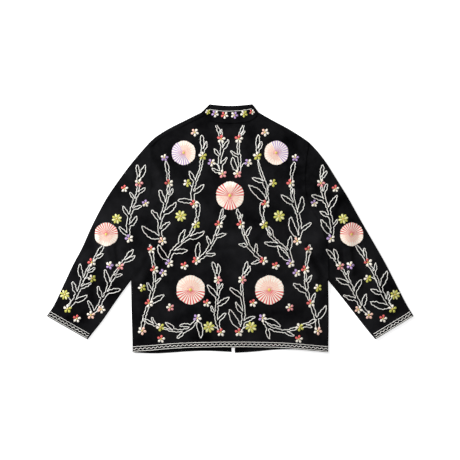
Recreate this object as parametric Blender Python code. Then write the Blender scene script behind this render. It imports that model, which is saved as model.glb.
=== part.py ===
"""Embroidered jacket laid flat with its back up.

A back, two fronts, two sleeves and a stand collar are closed cloth walls that meet at their
seams, and seven stitched rosettes lie raised on the back and the sleeves. Metres, +Z up,
collar towards +Y. The tables are in millimetres on the floor plan, seen from above.
"""

import math

import bmesh
import bpy
from mathutils import Vector
from mathutils.bvhtree import BVHTree

MM = 0.001

# The middle of the plan's box in the tables' millimetres, which becomes the origin
MIDDLE_X = 0.5
MIDDLE_Y = -2.37

# Cloth thickness, and how the layers lie on each other
CLOTH = 1.6 * MM
COLLAR_CLOTH = 2.0 * MM
SEAM_GAP = 0.4 * MM
TOP_LAYER = 4.5 * MM
TOP_LAYER_MOST = 7.0 * MM
FOLD_MIDDLE = 2.1 * MM
SIDE_EDGE_LOW = 0.4 * MM
SIDE_ROLL_SHARE = 0.85
FRONT_INSIDE_SIDE = 2.6 * MM
SHOULDER_WRAP = 11 * MM
COLLAR_RISE = 0.5 * MM

# Grid counts
ROLL_STEPS = 3
SHOULDER_COLUMNS = 7
BACK_NECK_COLUMNS = 8
SIDE_ROWS = 9
ARMHOLE_ROWS = 18
FRONT_SIDE_ROWS = 4
FRONT_NECK_COLUMNS = 8
SLEEVE_ROWS = 20
COLLAR_ROWS = 4
CURVE_STEPS = 12
APEX_SHARE = 0.012

SIDES = {"left": -1, "right": 1}

# Shoulder fold from the neck to the top of the armhole
SHOULDER_FOLD = (
    # y, x_left, x_right
    (329.7, -81.2, 81.2),
    (307.8, -125.4, 119.7),
    (285.0, -171.0, 162.5),
    (262.2, -208.1, 199.5),
    (245.0, -228.5, 224.4),
)
# Outer fold of the sleeve from the armhole to the cuff
SLEEVE_OUTER = (
    # y, x_left, x_right
    (245.0, -228.5, 224.4),
    (216.6, -253.7, 250.8),
    (182.4, -282.2, 276.5),
    (136.8, -316.4, 305.0),
    (91.2, -347.7, 333.5),
    (45.6, -373.4, 359.1),
    (0.0, -396.2, 385.0),
    (-57.0, -421.8, 418.0),
    (-102.6, -446.0, 443.8),
    (-159.6, -472.9, 473.0),
    (-216.6, -499.6, 502.4),
    (-250.5, -521.8, 522.8),
)
# Under-arm fold of the sleeve from the armhole to the cuff
SLEEVE_INNER = (
    # y, x_left, x_right
    (-150.0, -282.2, 279.9),
    (-182.4, -306.5, 306.5),
    (-216.6, -330.6, 333.5),
    (-262.2, -362.0, 369.0),
    (-296.4, -389.0, 396.2),
    (-317.0, -405.3, 413.8),
)
ARMHOLE_SEAM = (
    # y, x_left, x_right
    (245.0, -228.5, 224.4),
    (179.6, -225.2, 214.6),
    (108.3, -227.0, 213.8),
    (65.0, -240.0, 226.5),
    (17.1, -260.5, 252.0),
    (-37.0, -275.5, 271.8),
    (-100.0, -281.6, 279.0),
    (-150.0, -282.2, 279.9),
)
SIDE_SEAM = (
    # y, x_left, x_right
    (-150.0, -282.2, 279.9),
    (-230.0, -280.8, 281.2),
    (-300.0, -278.8, 281.0),
    (-353.8, -277.9, 280.0),
)
BACK_HEM = (
    # x, y
    (-277.9, -353.8),
    (-228.0, -350.6),
    (-136.8, -343.4),
    (2.9, -340.3),
    (139.7, -342.6),
    (199.5, -346.3),
    (280.0, -353.8),
)
BACK_NECK = (
    # x, y
    (-81.2, 329.7),
    (-70.0, 314.5),
    (-46.0, 302.5),
    (1.0, 299.0),
    (46.0, 302.5),
    (70.0, 314.5),
    (81.2, 329.7),
)
# Front hems from the centre to the side, and the centre edges from hem to neck
FRONT_HEM = {
    "left": ((4.6, -353.1), (-62.7, -350.0), (-116.9, -351.4), (-208.0, -357.1), (-275.3, -354.6)),
    "right": ((13.7, -355.7), (65.6, -352.5), (134.0, -346.5), (199.5, -346.6), (277.4, -354.2)),
}
FRONT_CENTRE = {
    "left": ((4.6, -353.1), (1.6, -60.0), (-3.0, 245.0)),
    "right": ((13.7, -355.7), (10.5, -60.0), (6.0, 245.0)),
}
FRONT_NECK = {
    "left": ((-3.0, 245.0), (-38.0, 255.0), (-66.0, 286.0), (-81.2, 329.7)),
    "right": ((6.0, 245.0), (39.0, 255.0), (66.0, 286.0), (81.2, 329.7)),
}
# Top edge of the collar behind, and of its two front halves
COLLAR_BACK_TOP = ((-58.4, 352.3), (-30.0, 349.2), (2.9, 347.6), (34.0, 349.2), (64.1, 352.3))
COLLAR_FRONT_TOP = {
    "left": ((-3.0, 289.0), (-22.0, 296.0), (-41.0, 316.0), (-58.4, 352.3)),
    "right": ((6.0, 289.0), (24.0, 296.0), (44.0, 316.0), (64.1, 352.3)),
}

# Long soft folds of the top layer: the line each one lies along, its half width and height
FOLDS = (
    # start_x, start_y, end_x, end_y, half_width, height
    (-238.0, 232.0, -168.0, 158.0, 24.0, 1.7),
    (-222.0, 172.0, -182.0, 96.0, 22.0, 1.3),
    (232.0, 176.0, 128.0, 150.0, 24.0, 1.5),
    (252.0, 92.0, 168.0, 108.0, 22.0, 1.3),
    (208.0, -50.0, 272.0, -168.0, 21.0, 1.9),
    (252.0, -36.0, 262.0, -92.0, 20.0, 1.2),
    (-212.0, -58.0, -268.0, -150.0, 22.0, 1.4),
    (-128.0, 118.0, 150.0, 121.0, 26.0, 1.0),
    (-88.0, -18.0, -10.0, -58.0, 25.0, 1.1),
    (-10.0, -58.0, 66.0, -28.0, 25.0, 1.1),
    (-356.0, 8.0, -322.0, -178.0, 22.0, 1.5),
    (-402.0, -40.0, -398.0, -214.0, 20.0, 1.2),
    (330.0, 24.0, 352.0, -160.0, 22.0, 1.4),
    (398.0, -60.0, 436.0, -220.0, 20.0, 1.2),
    (-300.0, 96.0, -262.0, 16.0, 22.0, 1.2),
    (292.0, 92.0, 268.0, 10.0, 22.0, 1.3),
    (-190.0, -206.0, -160.0, -318.0, 26.0, 1.0),
    (150.0, -196.0, 176.0, -312.0, 26.0, 1.1),
    (-6.0, -170.0, 8.0, -330.0, 28.0, 0.8),
)

# Raised rosettes: the panel each lies on, its centre and its radius
ROSETTES = (
    # name, panel, x, y, radius
    ("rosette_centre", "back", 0.0, 92.0, 41.0),
    ("rosette_yoke_left", "back", -132.0, 214.0, 35.0),
    ("rosette_yoke_right", "back", 132.0, 214.0, 35.0),
    ("rosette_low_left", "back", -112.0, -176.0, 42.0),
    ("rosette_low_right", "back", 112.0, -176.0, 42.0),
    ("rosette_sleeve_left", "sleeve_left", -352.0, -18.0, 34.0),
    ("rosette_sleeve_right", "sleeve_right", 346.0, -18.0, 34.0),
)
ROSETTE_PETALS = 12
ROSETTE_RINGS = (0.3, 0.65, 1.0)
ROSETTE_LIFT = 0.4 * MM
ROSETTE_THICK = 1.5 * MM
ROSETTE_RIM_THICK = 0.8 * MM
ROSETTE_RIDGE = 0.3 * MM
ABOVE_ALL = 0.1

# Colours and roughness of the cloth and of the stitched work
FINISHES = {
    "black_cloth": ((0.012, 0.012, 0.014, 1.0), 0.85),
    "thread": ((0.75, 0.32, 0.27, 1.0), 0.55),
}


def smooth(rows):
    """A dense plan line, in metres, that passes through the rows and is rounded between them."""
    points = [Vector(((x - MIDDLE_X) * MM, (y - MIDDLE_Y) * MM)) for x, y in rows]
    before = 2 * points[0] - points[1]
    after = 2 * points[-1] - points[-2]
    ends = [before, *points, after]
    line = []
    for a, b, c, d in zip(ends, ends[1:], ends[2:], ends[3:]):
        for step in range(CURVE_STEPS):
            t = step / CURVE_STEPS
            square = (2 * a - 5 * b + 4 * c - d) * t * t
            cube = (3 * b - a - 3 * c + d) * t * t * t
            line.append(0.5 * (2 * b + (c - a) * t + square + cube))
    line.append(points[-1])
    return line


def side_line(table, side):
    """The smooth line of one side from a table with y, x_left and x_right."""
    column = 1 if side == "left" else 2
    return smooth([(row[column], row[0]) for row in table])


def even(count):
    return [step / count for step in range(count + 1)]


def spread(line, fractions):
    """The points of a line at the given fractions of its length."""
    lengths = [0.0]
    for a, b in zip(line, line[1:]):
        lengths.append(lengths[-1] + (b - a).length)
    found = []
    place = 0
    for fraction in fractions:
        wanted = fraction * lengths[-1]
        while place < len(line) - 2 and lengths[place + 1] < wanted:
            place += 1
        part = (wanted - lengths[place]) / (lengths[place + 1] - lengths[place])
        found.append(line[place].lerp(line[place + 1], min(max(part, 0.0), 1.0)))
    return found


def tangents(points):
    """The unit direction of a line at each of its points."""
    last = len(points) - 1
    return [(points[min(i + 1, last)] - points[max(i - 1, 0)]).normalized() for i in range(last + 1)]


def moved_across(points, amount):
    """The same line moved sideways: to its right for a positive amount."""
    return [p + amount * Vector((t.y, -t.x)) for p, t in zip(points, tangents(points))]


def patch(bottom, top, left, right):
    """Rows of plan points spread between four edges that share their corners (a Coons patch)."""
    width = (bottom[-1] - bottom[0]).length
    across = [(p - bottom[0]).length / width for p in bottom]
    across[-1] = 1.0
    up = even(len(left) - 1)
    rows = []
    for v, start, end in zip(up, left, right):
        row = []
        for u, low, high in zip(across, bottom, top):
            ruled = low.lerp(high, v) + start.lerp(end, u)
            corners = bottom[0].lerp(bottom[-1], u).lerp(top[0].lerp(top[-1], u), v)
            row.append(ruled - corners)
        rows.append(row)
    return rows


def top_height(point):
    """Height of the top layer's outer face at a plan point: a low bed with soft folds on it."""
    height = TOP_LAYER
    for start_x, start_y, end_x, end_y, half_width, rise in FOLDS:
        start = Vector(((start_x - MIDDLE_X) * MM, (start_y - MIDDLE_Y) * MM))
        run = Vector(((end_x - start_x) * MM, (end_y - start_y) * MM))
        share = min(max((point - start).dot(run) / run.length_squared, 0.0), 1.0)
        away = (point - start - share * run).length / (half_width * MM)
        height += rise * MM * math.exp(-away * away)
    return min(height, TOP_LAYER_MOST)


def rolled(turn, reach, start, end, cloth):
    """A point of a rounded fold: outer and inner distance from the fold line, and heights.

    At turn 0 it is the outermost point, at height start. At a quarter turn it is flat, at
    height end, and reach is its distance from the fold line there.
    """
    rise = end - start
    out_distance = reach * (1 - math.cos(turn))
    out_height = start + rise * math.sin(turn)
    normal = Vector((-abs(rise) * math.cos(turn), math.copysign(reach, rise) * math.sin(turn)))
    normal.normalize()
    in_distance = out_distance - cloth * normal.x
    in_height = out_height - cloth * normal.y
    return out_distance, out_height, in_distance, in_height


def raised(point, height):
    return Vector((point.x, point.y, height))


def quarter_turns():
    return [math.pi / 2 * step / ROLL_STEPS for step in range(ROLL_STEPS + 1)]


def build_wall(name, outer, inner, faces, finish):
    """A closed wall from an outer and an inner skin with the same faces, and its cut edges."""
    count = len(outer)
    skins = [tuple(face) for face in faces]
    skins += [tuple(corner + count for corner in reversed(face)) for face in faces]
    directed = set()
    for face in faces:
        directed.update(zip(face, [*face[1:], face[0]]))
    rims = [(b, a, a + count, b + count) for a, b in sorted(directed) if (b, a) not in directed]
    mesh = bpy.data.meshes.new(name)
    mesh.from_pydata([*outer, *inner], [], skins + rims)
    tidy = bmesh.new()
    tidy.from_mesh(mesh)
    bmesh.ops.recalc_face_normals(tidy, faces=tidy.faces)
    tidy.to_mesh(mesh)
    tidy.free()
    mesh.materials.append(bpy.data.materials[finish])
    piece = bpy.data.objects.new(name, mesh)
    bpy.context.scene.collection.objects.link(piece)
    return piece


def grid_faces(rows, columns, closed=False):
    """Faces of a grid with the given numbers of points, closed round its columns or not."""
    faces = []
    for row in range(rows - 1):
        for column in range(columns if closed else columns - 1):
            beside = (column + 1) % columns
            low = row * columns
            faces.append((low + column, low + beside, low + columns + beside, low + columns + column))
    return faces


def edge_pairs(edge, towards, tangent, profile):
    """Outer and inner points of a rounded edge from its (distance, height) profile."""
    slant = abs(towards.cross(tangent))
    return [
        (raised(edge + towards * (d_out / slant), z_out), raised(edge + towards * (d_in / slant), z_in))
        for d_out, z_out, d_in, z_in in profile
    ]


def line_length(line):
    return sum((b - a).length for a, b in zip(line, line[1:]))


def neck_points():
    """The back neck seam from left to right: its ends, the wrapped fronts' edges, and between."""
    line = smooth(BACK_NECK)
    wrap = (SHOULDER_WRAP + SEAM_GAP / 2) / line_length(line)
    between = [wrap + (1 - 2 * wrap) * step for step in even(BACK_NECK_COLUMNS)]
    return spread(line, [0.0, *between, 1.0])


def front_neck_points(side):
    return spread(smooth(FRONT_NECK[side]), even(FRONT_NECK_COLUMNS))


def armhole_points(side):
    """The armhole seam from the shoulder down to the under-arm, which its three pieces share."""
    return spread(side_line(ARMHOLE_SEAM, side), even(ARMHOLE_ROWS))


def turning(start, end, count):
    """Unit directions that turn evenly from one to another."""
    return [start.normalized().lerp(end.normalized(), step).normalized() for step in even(count)]


def shoulder_frame(side):
    """The shoulder fold from neck to armhole: its points, tangents, and ways in over and under."""
    count = SHOULDER_COLUMNS
    fold = spread(side_line(SHOULDER_FOLD, side), even(count))
    neck = neck_points() if side == "left" else neck_points()[::-1]
    front_neck = front_neck_points(side)
    armhole = armhole_points(side)
    over = turning(neck[1] - neck[0], armhole[1] - armhole[0], count)
    under = turning(front_neck[-2] - front_neck[-1], armhole[1] - armhole[0], count)
    along = tangents(fold)
    fold[-1] = fold[-1] + Vector((-SIDES[side] * SEAM_GAP / 2, 0))
    return fold, along, over, under


def moved_in(edges, ways, along, distance):
    """Points at the given distance from a fold, measured square to it, along the given ways."""
    return [p + way * (distance / abs(way.cross(t))) for p, way, t in zip(edges, ways, along)]


def back_shoulder_line(side):
    """The back's shoulder edge, from neck to armhole, clear of the front's wrapped edge."""
    fold, along, over, _ = shoulder_frame(side)
    return moved_in(fold, over, along, SHOULDER_WRAP + SEAM_GAP)


def back_side_line(side, shoulder_end):
    """The back's side from hem to under-arm, then its armhole edge up to the shoulder seam."""
    low = spread(side_line(SIDE_SEAM, side)[::-1], even(SIDE_ROWS))
    seam = armhole_points(side)[::-1]
    above_apex = seam[0].lerp(seam[1], APEX_SHARE)
    clear = [p + Vector((-SIDES[side] * SEAM_GAP / 2, 0)) for p in (above_apex, *seam[1:-1])]
    return [*low, *clear, shoulder_end]


def build_back():
    """The back panel: its hem, side folds, armholes, shoulder seams and neck."""
    left_shoulder = back_shoulder_line("left")[::-1]
    right_shoulder = back_shoulder_line("right")
    neck = moved_across(neck_points(), SEAM_GAP / 2)
    top = [*left_shoulder, *neck[2:-2], *right_shoulder]
    width = top[-1].x - top[0].x
    bottom = spread(smooth(BACK_HEM), [(p.x - top[0].x) / width for p in top])
    left = back_side_line("left", top[0])
    right = back_side_line("right", top[-1])
    rows = patch(bottom, top, left, right)
    left_way = tangents(left)
    right_way = tangents(right)
    outer = []
    inner = []
    for number, row in enumerate(rows):
        folded = number <= SIDE_ROWS
        ends = ((row[0], row[1], left_way[number]), (row[-1], row[-2], right_way[number]))
        rolls = [side_roll(edge, beside, along, folded) for edge, beside, along in ends]
        middle = [(raised(p, top_height(p)), raised(p, top_height(p) - CLOTH)) for p in row[1:-1]]
        pairs = [*rolls[0], *middle, *reversed(rolls[1])]
        outer += [pair[0] for pair in pairs]
        inner += [pair[1] for pair in pairs]
    columns = len(outer) // len(rows)
    return build_wall("back", outer, inner, grid_faces(len(rows), columns), "black_cloth")


def side_roll(edge, beside, along, folded):
    """The columns of the back at one side edge: rolled down where the side folds, else flat."""
    towards = (beside - edge).normalized()
    high = top_height(edge)
    reach = SIDE_ROLL_SHARE * (high - SIDE_EDGE_LOW)
    profile = [rolled(turn, reach, SIDE_EDGE_LOW, high, CLOTH) for turn in quarter_turns()]
    if not folded:
        profile = [(d_out, high, d_out, high - CLOTH) for d_out, _, _, _ in profile]
    return edge_pairs(edge, towards, along, profile)


def front_side_line(side, shoulder_end):
    """The front's side from hem to under-arm, inside the back's fold, then its armhole edge."""
    inwards = Vector((-SIDES[side], 0))
    low = spread(side_line(SIDE_SEAM, side)[::-1], even(FRONT_SIDE_ROWS))
    low = [p + inwards * FRONT_INSIDE_SIDE for p in low]
    clear = [p + inwards * SEAM_GAP / 2 for p in armhole_points(side)[-2:0:-1]]
    return [*low, *clear, shoulder_end]


def build_front(side):
    """One front: flat on the floor, then wrapped round the shoulder fold onto the back."""
    fold, along, over, under = shoulder_frame(side)
    shoulder = moved_in(fold, under, along, FOLD_MIDDLE)
    top = [*front_neck_points(side)[:-1], *shoulder]
    outer_edge = front_side_line(side, shoulder[-1])
    hem_line = smooth(FRONT_HEM[side])
    hem_line[-1] = outer_edge[0]
    width = top[-1].x - top[0].x
    bottom = spread(hem_line, [(p.x - top[0].x) / width for p in top])
    inner_edge = spread(smooth(FRONT_CENTRE[side]), even(len(outer_edge) - 1))
    rows = patch(bottom, top, inner_edge, outer_edge)
    outer = [raised(p, 0.0) for row in rows for p in row]
    inner = [raised(p, CLOTH) for row in rows for p in row]
    faces = grid_faces(len(rows), len(top))
    add_shoulder_wrap(outer, inner, faces, zip(fold, along, over, under))
    return build_wall(f"front_{side}", outer, inner, faces, "black_cloth")


def add_shoulder_wrap(outer, inner, faces, shoulder):
    """Rows that carry the front's shoulder edge round the fold to its seam on the back."""
    columns = []
    for edge, tangent, over, under in shoulder:
        high = top_height(edge)
        radius = high - FOLD_MIDDLE
        turns = quarter_turns()
        below = [rolled(turn, FOLD_MIDDLE, FOLD_MIDDLE, 0.0, CLOTH) for turn in turns[-2:0:-1]]
        above = [rolled(turn, radius, FOLD_MIDDLE, high, CLOTH) for turn in turns]
        above += [(d, high, d, high - CLOTH) for d in (SHOULDER_WRAP * 0.6, SHOULDER_WRAP)]
        columns.append([*edge_pairs(edge, under, tangent, below), *edge_pairs(edge, over, tangent, above)])
    previous = list(range(len(outer) - len(columns), len(outer)))
    for step in range(len(columns[0])):
        current = list(range(len(outer), len(outer) + len(columns)))
        outer += [column[step][0] for column in columns]
        inner += [column[step][1] for column in columns]
        for place in range(len(columns) - 1):
            faces.append((previous[place], previous[place + 1], current[place + 1], current[place]))
        previous = current


def build_sleeve(side):
    """One sleeve: a flattened tube from the armhole to the cuff, open at both ends."""
    outwards = Vector((SIDES[side] * SEAM_GAP / 2, 0))
    armhole = [p + outwards for p in armhole_points(side)]
    fold = [armhole[0], *spread(side_line(SLEEVE_OUTER, side), even(SLEEVE_ROWS))[1:]]
    under = [armhole[-1], *spread(side_line(SLEEVE_INNER, side), even(SLEEVE_ROWS))[1:]]
    cuff = spread([fold[-1], under[-1]], even(ARMHOLE_ROWS))
    rows = patch(armhole, cuff, fold, under)
    fold_way = tangents(fold)
    under_way = tangents(under)
    outer = []
    inner = []
    for number, row in enumerate(rows):
        upper, lower = sleeve_edges(row[0], row[1], fold_way[number])
        far_upper, far_lower = sleeve_edges(row[-1], row[-2], under_way[number])
        middle = row[1:-1]
        top = [(raised(p, top_height(p)), raised(p, top_height(p) - CLOTH)) for p in middle]
        bottom = [(raised(p, 0.0), raised(p, CLOTH)) for p in middle]
        loop = [*upper, *top, *reversed(far_upper), *far_lower[1:], *reversed(bottom), *reversed(lower[1:])]
        outer += [pair[0] for pair in loop]
        inner += [pair[1] for pair in loop]
    faces = grid_faces(len(rows), len(loop), closed=True)
    return build_wall(f"sleeve_{side}", outer, inner, faces, "black_cloth")


def sleeve_edges(edge, beside, tangent):
    """The two quarters of a sleeve's fold: over the top, and under it to the floor."""
    towards = (beside - edge).normalized()
    high = top_height(edge)
    over = [rolled(turn, high - FOLD_MIDDLE, FOLD_MIDDLE, high, CLOTH) for turn in quarter_turns()]
    below = [rolled(turn, FOLD_MIDDLE, FOLD_MIDDLE, 0.0, CLOTH) for turn in quarter_turns()]
    return edge_pairs(edge, towards, tangent, over), edge_pairs(edge, towards, tangent, below)


def collar_height(point):
    return top_height(point) + COLLAR_RISE


def collar_fold(side, base_line, front_base, back_top, front_top):
    """Columns of points round the collar's side fold, from its front half to its back."""
    corner = 0 if side == "left" else -1
    step = 1 if side == "left" else -1
    base = base_line[corner]
    top = back_top[corner]
    tangent = (top - base).normalized()
    back_ways = (base_line[corner + step] - base, back_top[corner + step] - top)
    front_ways = (front_base[-2] - front_base[-1], front_top[-2] - front_top[-1])
    high = collar_height(base)
    middle = high / 2
    turns = quarter_turns()
    under = [(rolled(t, middle, middle, 0.0, COLLAR_CLOTH), front_ways) for t in turns[:0:-1]]
    over = [(rolled(t, middle, middle, high, COLLAR_CLOTH), back_ways) for t in turns]
    columns = []
    for profile, ways in (*under, *over):
        column = []
        for share in even(COLLAR_ROWS):
            way = ways[0].normalized().lerp(ways[1].normalized(), share).normalized()
            column += edge_pairs(base.lerp(top, share), way, tangent, [profile])
        columns.append(column)
    return columns


def flat_columns(bases, tops, heights):
    """Columns between a base and a top line, with the wall's (outer, inner) height for a point."""
    columns = []
    for base, top in zip(bases, tops):
        points = [base.lerp(top, share) for share in even(COLLAR_ROWS)]
        columns.append([(raised(p, heights(p)[0]), raised(p, heights(p)[1])) for p in points])
    return columns


def build_collar():
    """The stand collar: one band from front edge to front edge round the neck, pressed flat."""
    base_line = moved_across(neck_points(), -SEAM_GAP)
    lift = Vector((0, SEAM_GAP))
    base_line[0] += lift
    base_line[-1] += lift
    back_top = spread(smooth(COLLAR_BACK_TOP), even(len(base_line) - 1))
    halves = {}
    for side in SIDES:
        turned = SIDES[side] * SEAM_GAP
        front_base = moved_across(front_neck_points(side), -turned)
        front_base[-1] = base_line[0 if side == "left" else -1]
        front_top = spread(smooth(COLLAR_FRONT_TOP[side]), even(FRONT_NECK_COLUMNS))
        under = flat_columns(front_base[:-1], front_top[:-1], lambda p: (0.0, COLLAR_CLOTH))
        halves[side] = (under, collar_fold(side, base_line, front_base, back_top, front_top))
    behind = flat_columns(
        base_line[1:-1],
        back_top[1:-1],
        lambda p: (collar_height(p), collar_height(p) - COLLAR_CLOTH),
    )
    under_left, fold_left = halves["left"]
    under_right, fold_right = halves["right"]
    columns = [*under_left, *fold_left, *behind, *reversed(fold_right), *reversed(under_right)]
    outer = [pair[0] for column in columns for pair in column]
    inner = [pair[1] for column in columns for pair in column]
    faces = grid_faces(len(columns), COLLAR_ROWS + 1)
    return build_wall("collar", outer, inner, faces, "black_cloth")


def build_rosette(name, panel, x, y, radius):
    """A raised round of satin stitches, ridged like petals, made from its panel's surface."""
    centre = Vector(((x - MIDDLE_X) * MM, (y - MIDDLE_Y) * MM))
    surface = BVHTree.FromObject(panel, bpy.context.evaluated_depsgraph_get())
    segments = 2 * ROSETTE_PETALS
    plan = [(centre, 0.0, 0)]
    for ring in ROSETTE_RINGS:
        for segment in range(segments):
            angle = 2 * math.pi * segment / segments
            notch = 0.94 if ring == 1.0 and segment % 2 else 1.0
            reach = radius * MM * ring * notch
            plan.append((centre + reach * Vector((math.cos(angle), math.sin(angle))), ring, segment % 2))
    outer = []
    inner = []
    for point, ring, low_petal in plan:
        ground = surface.ray_cast(raised(point, ABOVE_ALL), Vector((0, 0, -1)))[0].z
        dome = ROSETTE_THICK + (ROSETTE_RIM_THICK - ROSETTE_THICK) * ring * ring
        ridge = 0.0 if low_petal else ROSETTE_RIDGE
        inner.append(raised(point, ground + ROSETTE_LIFT))
        outer.append(raised(point, ground + ROSETTE_LIFT + dome + ridge))
    faces = [(0, 1 + s, 1 + (s + 1) % segments) for s in range(segments)]
    for ring in range(len(ROSETTE_RINGS) - 1):
        start = 1 + ring * segments
        for s in range(segments):
            beside = (s + 1) % segments
            faces.append((start + s, start + segments + s, start + segments + beside, start + beside))
    return build_wall(name, outer, inner, faces, "thread")


def make_finishes():
    for name, (colour, roughness) in FINISHES.items():
        material = bpy.data.materials.new(name)
        material.use_nodes = True
        shader = material.node_tree.nodes["Principled BSDF"]
        shader.inputs["Base Color"].default_value = colour
        shader.inputs["Roughness"].default_value = roughness
        shader.inputs["Metallic"].default_value = 0.0


def main():
    for old in list(bpy.data.objects):
        bpy.data.objects.remove(old, do_unlink=True)
    make_finishes()
    panels = {"back": build_back(), "collar": build_collar()}
    for side in SIDES:
        panels[f"front_{side}"] = build_front(side)
        panels[f"sleeve_{side}"] = build_sleeve(side)
    bpy.context.view_layer.update()
    for name, panel, x, y, radius in ROSETTES:
        build_rosette(name, panels[panel], x, y, radius)


main()
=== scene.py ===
"""The looks of the embroidered jacket: cloth shells, corded sprays, blossoms, rosettes and borders.

The jacket lies flat with its back up. Metres, +Z up, collar towards +Y. The tables are in
millimetres on the floor plan, seen from above, and the first of them are those of the solids.
"""

import math
import random

import bmesh
import bpy
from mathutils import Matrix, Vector, noise
from mathutils.kdtree import KDTree


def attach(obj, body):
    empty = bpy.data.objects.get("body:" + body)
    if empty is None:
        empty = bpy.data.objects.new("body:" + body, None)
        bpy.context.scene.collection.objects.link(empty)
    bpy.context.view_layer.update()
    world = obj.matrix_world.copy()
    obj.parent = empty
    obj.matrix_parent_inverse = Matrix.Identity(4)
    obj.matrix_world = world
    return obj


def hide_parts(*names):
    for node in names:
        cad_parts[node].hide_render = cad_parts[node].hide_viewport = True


MM = 0.001
EAST = Vector((1.0, 0.0))
WHITE = (1.0, 1.0, 1.0, 1.0)

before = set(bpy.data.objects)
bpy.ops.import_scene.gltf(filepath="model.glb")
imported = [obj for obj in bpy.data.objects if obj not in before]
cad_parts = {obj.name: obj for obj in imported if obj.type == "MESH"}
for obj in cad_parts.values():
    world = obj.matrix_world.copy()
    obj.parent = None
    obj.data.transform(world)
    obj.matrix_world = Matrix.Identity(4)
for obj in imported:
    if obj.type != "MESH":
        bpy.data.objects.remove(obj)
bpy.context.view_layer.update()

# The middle of the plan's box in the tables' millimetres, which is the origin
MIDDLE_X = 0.5
MIDDLE_Y = -2.37

# Cloth thickness, and how the layers lie on each other
CLOTH = 1.4 * MM
COLLAR_CLOTH = 1.9 * MM
SEAM_GAP = 0.2 * MM
TOP_LAYER = 4.5 * MM
FOLD_MIDDLE = 2.1 * MM
SIDE_EDGE_LOW = 0.4 * MM
SIDE_ROLL_SHARE = 0.85
FRONT_INSIDE_SIDE = 2.6 * MM
SHOULDER_WRAP = 11 * MM
COLLAR_RISE = 0.5 * MM
SHARP_CLOTH = math.radians(50)

# Grid counts, and the shares of a length where a grid has lines closer together
ROLL_STEPS = 5
SHOULDER_COLUMNS = 40
BACK_NECK_COLUMNS = 42
SIDE_ROWS = 56
ARMHOLE_ROWS = 98
FRONT_SIDE_ROWS = 30
FRONT_NECK_COLUMNS = 22
SLEEVE_ROWS = 130
SLEEVE_COLUMNS = 54
COLLAR_ROWS = 10
CURVE_STEPS = 12
SEAM_SHARES = (0.0025, 0.006, 0.01)
SHOULDER_END_SHARES = (0.6, 0.85)
WRAP_SHARES = (0.4, 0.6, 0.8, 0.9, 1.0)

# The sides as seen from above, and the sign of x on each
SIDES = {"left": -1, "right": 1}

# Shoulder fold from the neck to the top of the armhole
SHOULDER_FOLD = (
    # y, x_left, x_right
    (329.7, -81.2, 81.2),
    (307.8, -125.4, 119.7),
    (285.0, -171.0, 162.5),
    (262.2, -208.1, 199.5),
    (245.0, -228.5, 224.4),
)
# Outer fold of the sleeve from the armhole to the cuff
SLEEVE_OUTER = (
    # y, x_left, x_right
    (245.0, -228.5, 224.4),
    (216.6, -253.7, 250.8),
    (182.4, -282.2, 276.5),
    (136.8, -316.4, 305.0),
    (91.2, -347.7, 333.5),
    (45.6, -373.4, 359.1),
    (0.0, -396.2, 385.0),
    (-57.0, -421.8, 418.0),
    (-102.6, -446.0, 443.8),
    (-159.6, -472.9, 473.0),
    (-216.6, -499.6, 502.4),
    (-250.5, -521.8, 522.8),
)
# Under-arm fold of the sleeve from the armhole to the cuff
SLEEVE_INNER = (
    # y, x_left, x_right
    (-150.0, -282.2, 279.9),
    (-182.4, -306.5, 306.5),
    (-216.6, -330.6, 333.5),
    (-262.2, -362.0, 369.0),
    (-296.4, -389.0, 396.2),
    (-317.0, -405.3, 413.8),
)
ARMHOLE_SEAM = (
    # y, x_left, x_right
    (245.0, -228.5, 224.4),
    (179.6, -225.2, 214.6),
    (108.3, -227.0, 213.8),
    (65.0, -240.0, 226.5),
    (17.1, -260.5, 252.0),
    (-37.0, -275.5, 271.8),
    (-100.0, -281.6, 279.0),
    (-150.0, -282.2, 279.9),
)
SIDE_SEAM = (
    # y, x_left, x_right
    (-150.0, -282.2, 279.9),
    (-230.0, -280.8, 281.2),
    (-300.0, -278.8, 281.0),
    (-353.8, -277.9, 280.0),
)
BACK_HEM = (
    # x, y
    (-277.9, -353.8),
    (-228.0, -350.6),
    (-136.8, -343.4),
    (2.9, -340.3),
    (139.7, -342.6),
    (199.5, -346.3),
    (280.0, -353.8),
)
BACK_NECK = (
    # x, y
    (-81.2, 329.7),
    (-70.0, 314.5),
    (-46.0, 302.5),
    (1.0, 299.0),
    (46.0, 302.5),
    (70.0, 314.5),
    (81.2, 329.7),
)
# Front hems from the centre to the side, and the centre edges from hem to neck
FRONT_HEM = {
    "left": ((4.6, -353.1), (-62.7, -350.0), (-116.9, -351.4), (-208.0, -357.1), (-275.3, -354.6)),
    "right": ((13.7, -355.7), (65.6, -352.5), (134.0, -346.5), (199.5, -346.6), (277.4, -354.2)),
}
FRONT_CENTRE = {
    "left": ((4.6, -353.1), (1.6, -60.0), (-3.0, 245.0)),
    "right": ((13.7, -355.7), (10.5, -60.0), (6.0, 245.0)),
}
FRONT_NECK = {
    "left": ((-3.0, 245.0), (-38.0, 255.0), (-66.0, 286.0), (-81.2, 329.7)),
    "right": ((6.0, 245.0), (39.0, 255.0), (66.0, 286.0), (81.2, 329.7)),
}
# Top edge of the collar behind, and of its two front halves
COLLAR_BACK_TOP = ((-58.4, 352.3), (-30.0, 349.2), (2.9, 347.6), (34.0, 349.2), (64.1, 352.3))
COLLAR_FRONT_TOP = {
    "left": ((-3.0, 289.0), (-22.0, 296.0), (-41.0, 316.0), (-58.4, 352.3)),
    "right": ((6.0, 289.0), (24.0, 296.0), (44.0, 316.0), (64.1, 352.3)),
}

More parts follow.
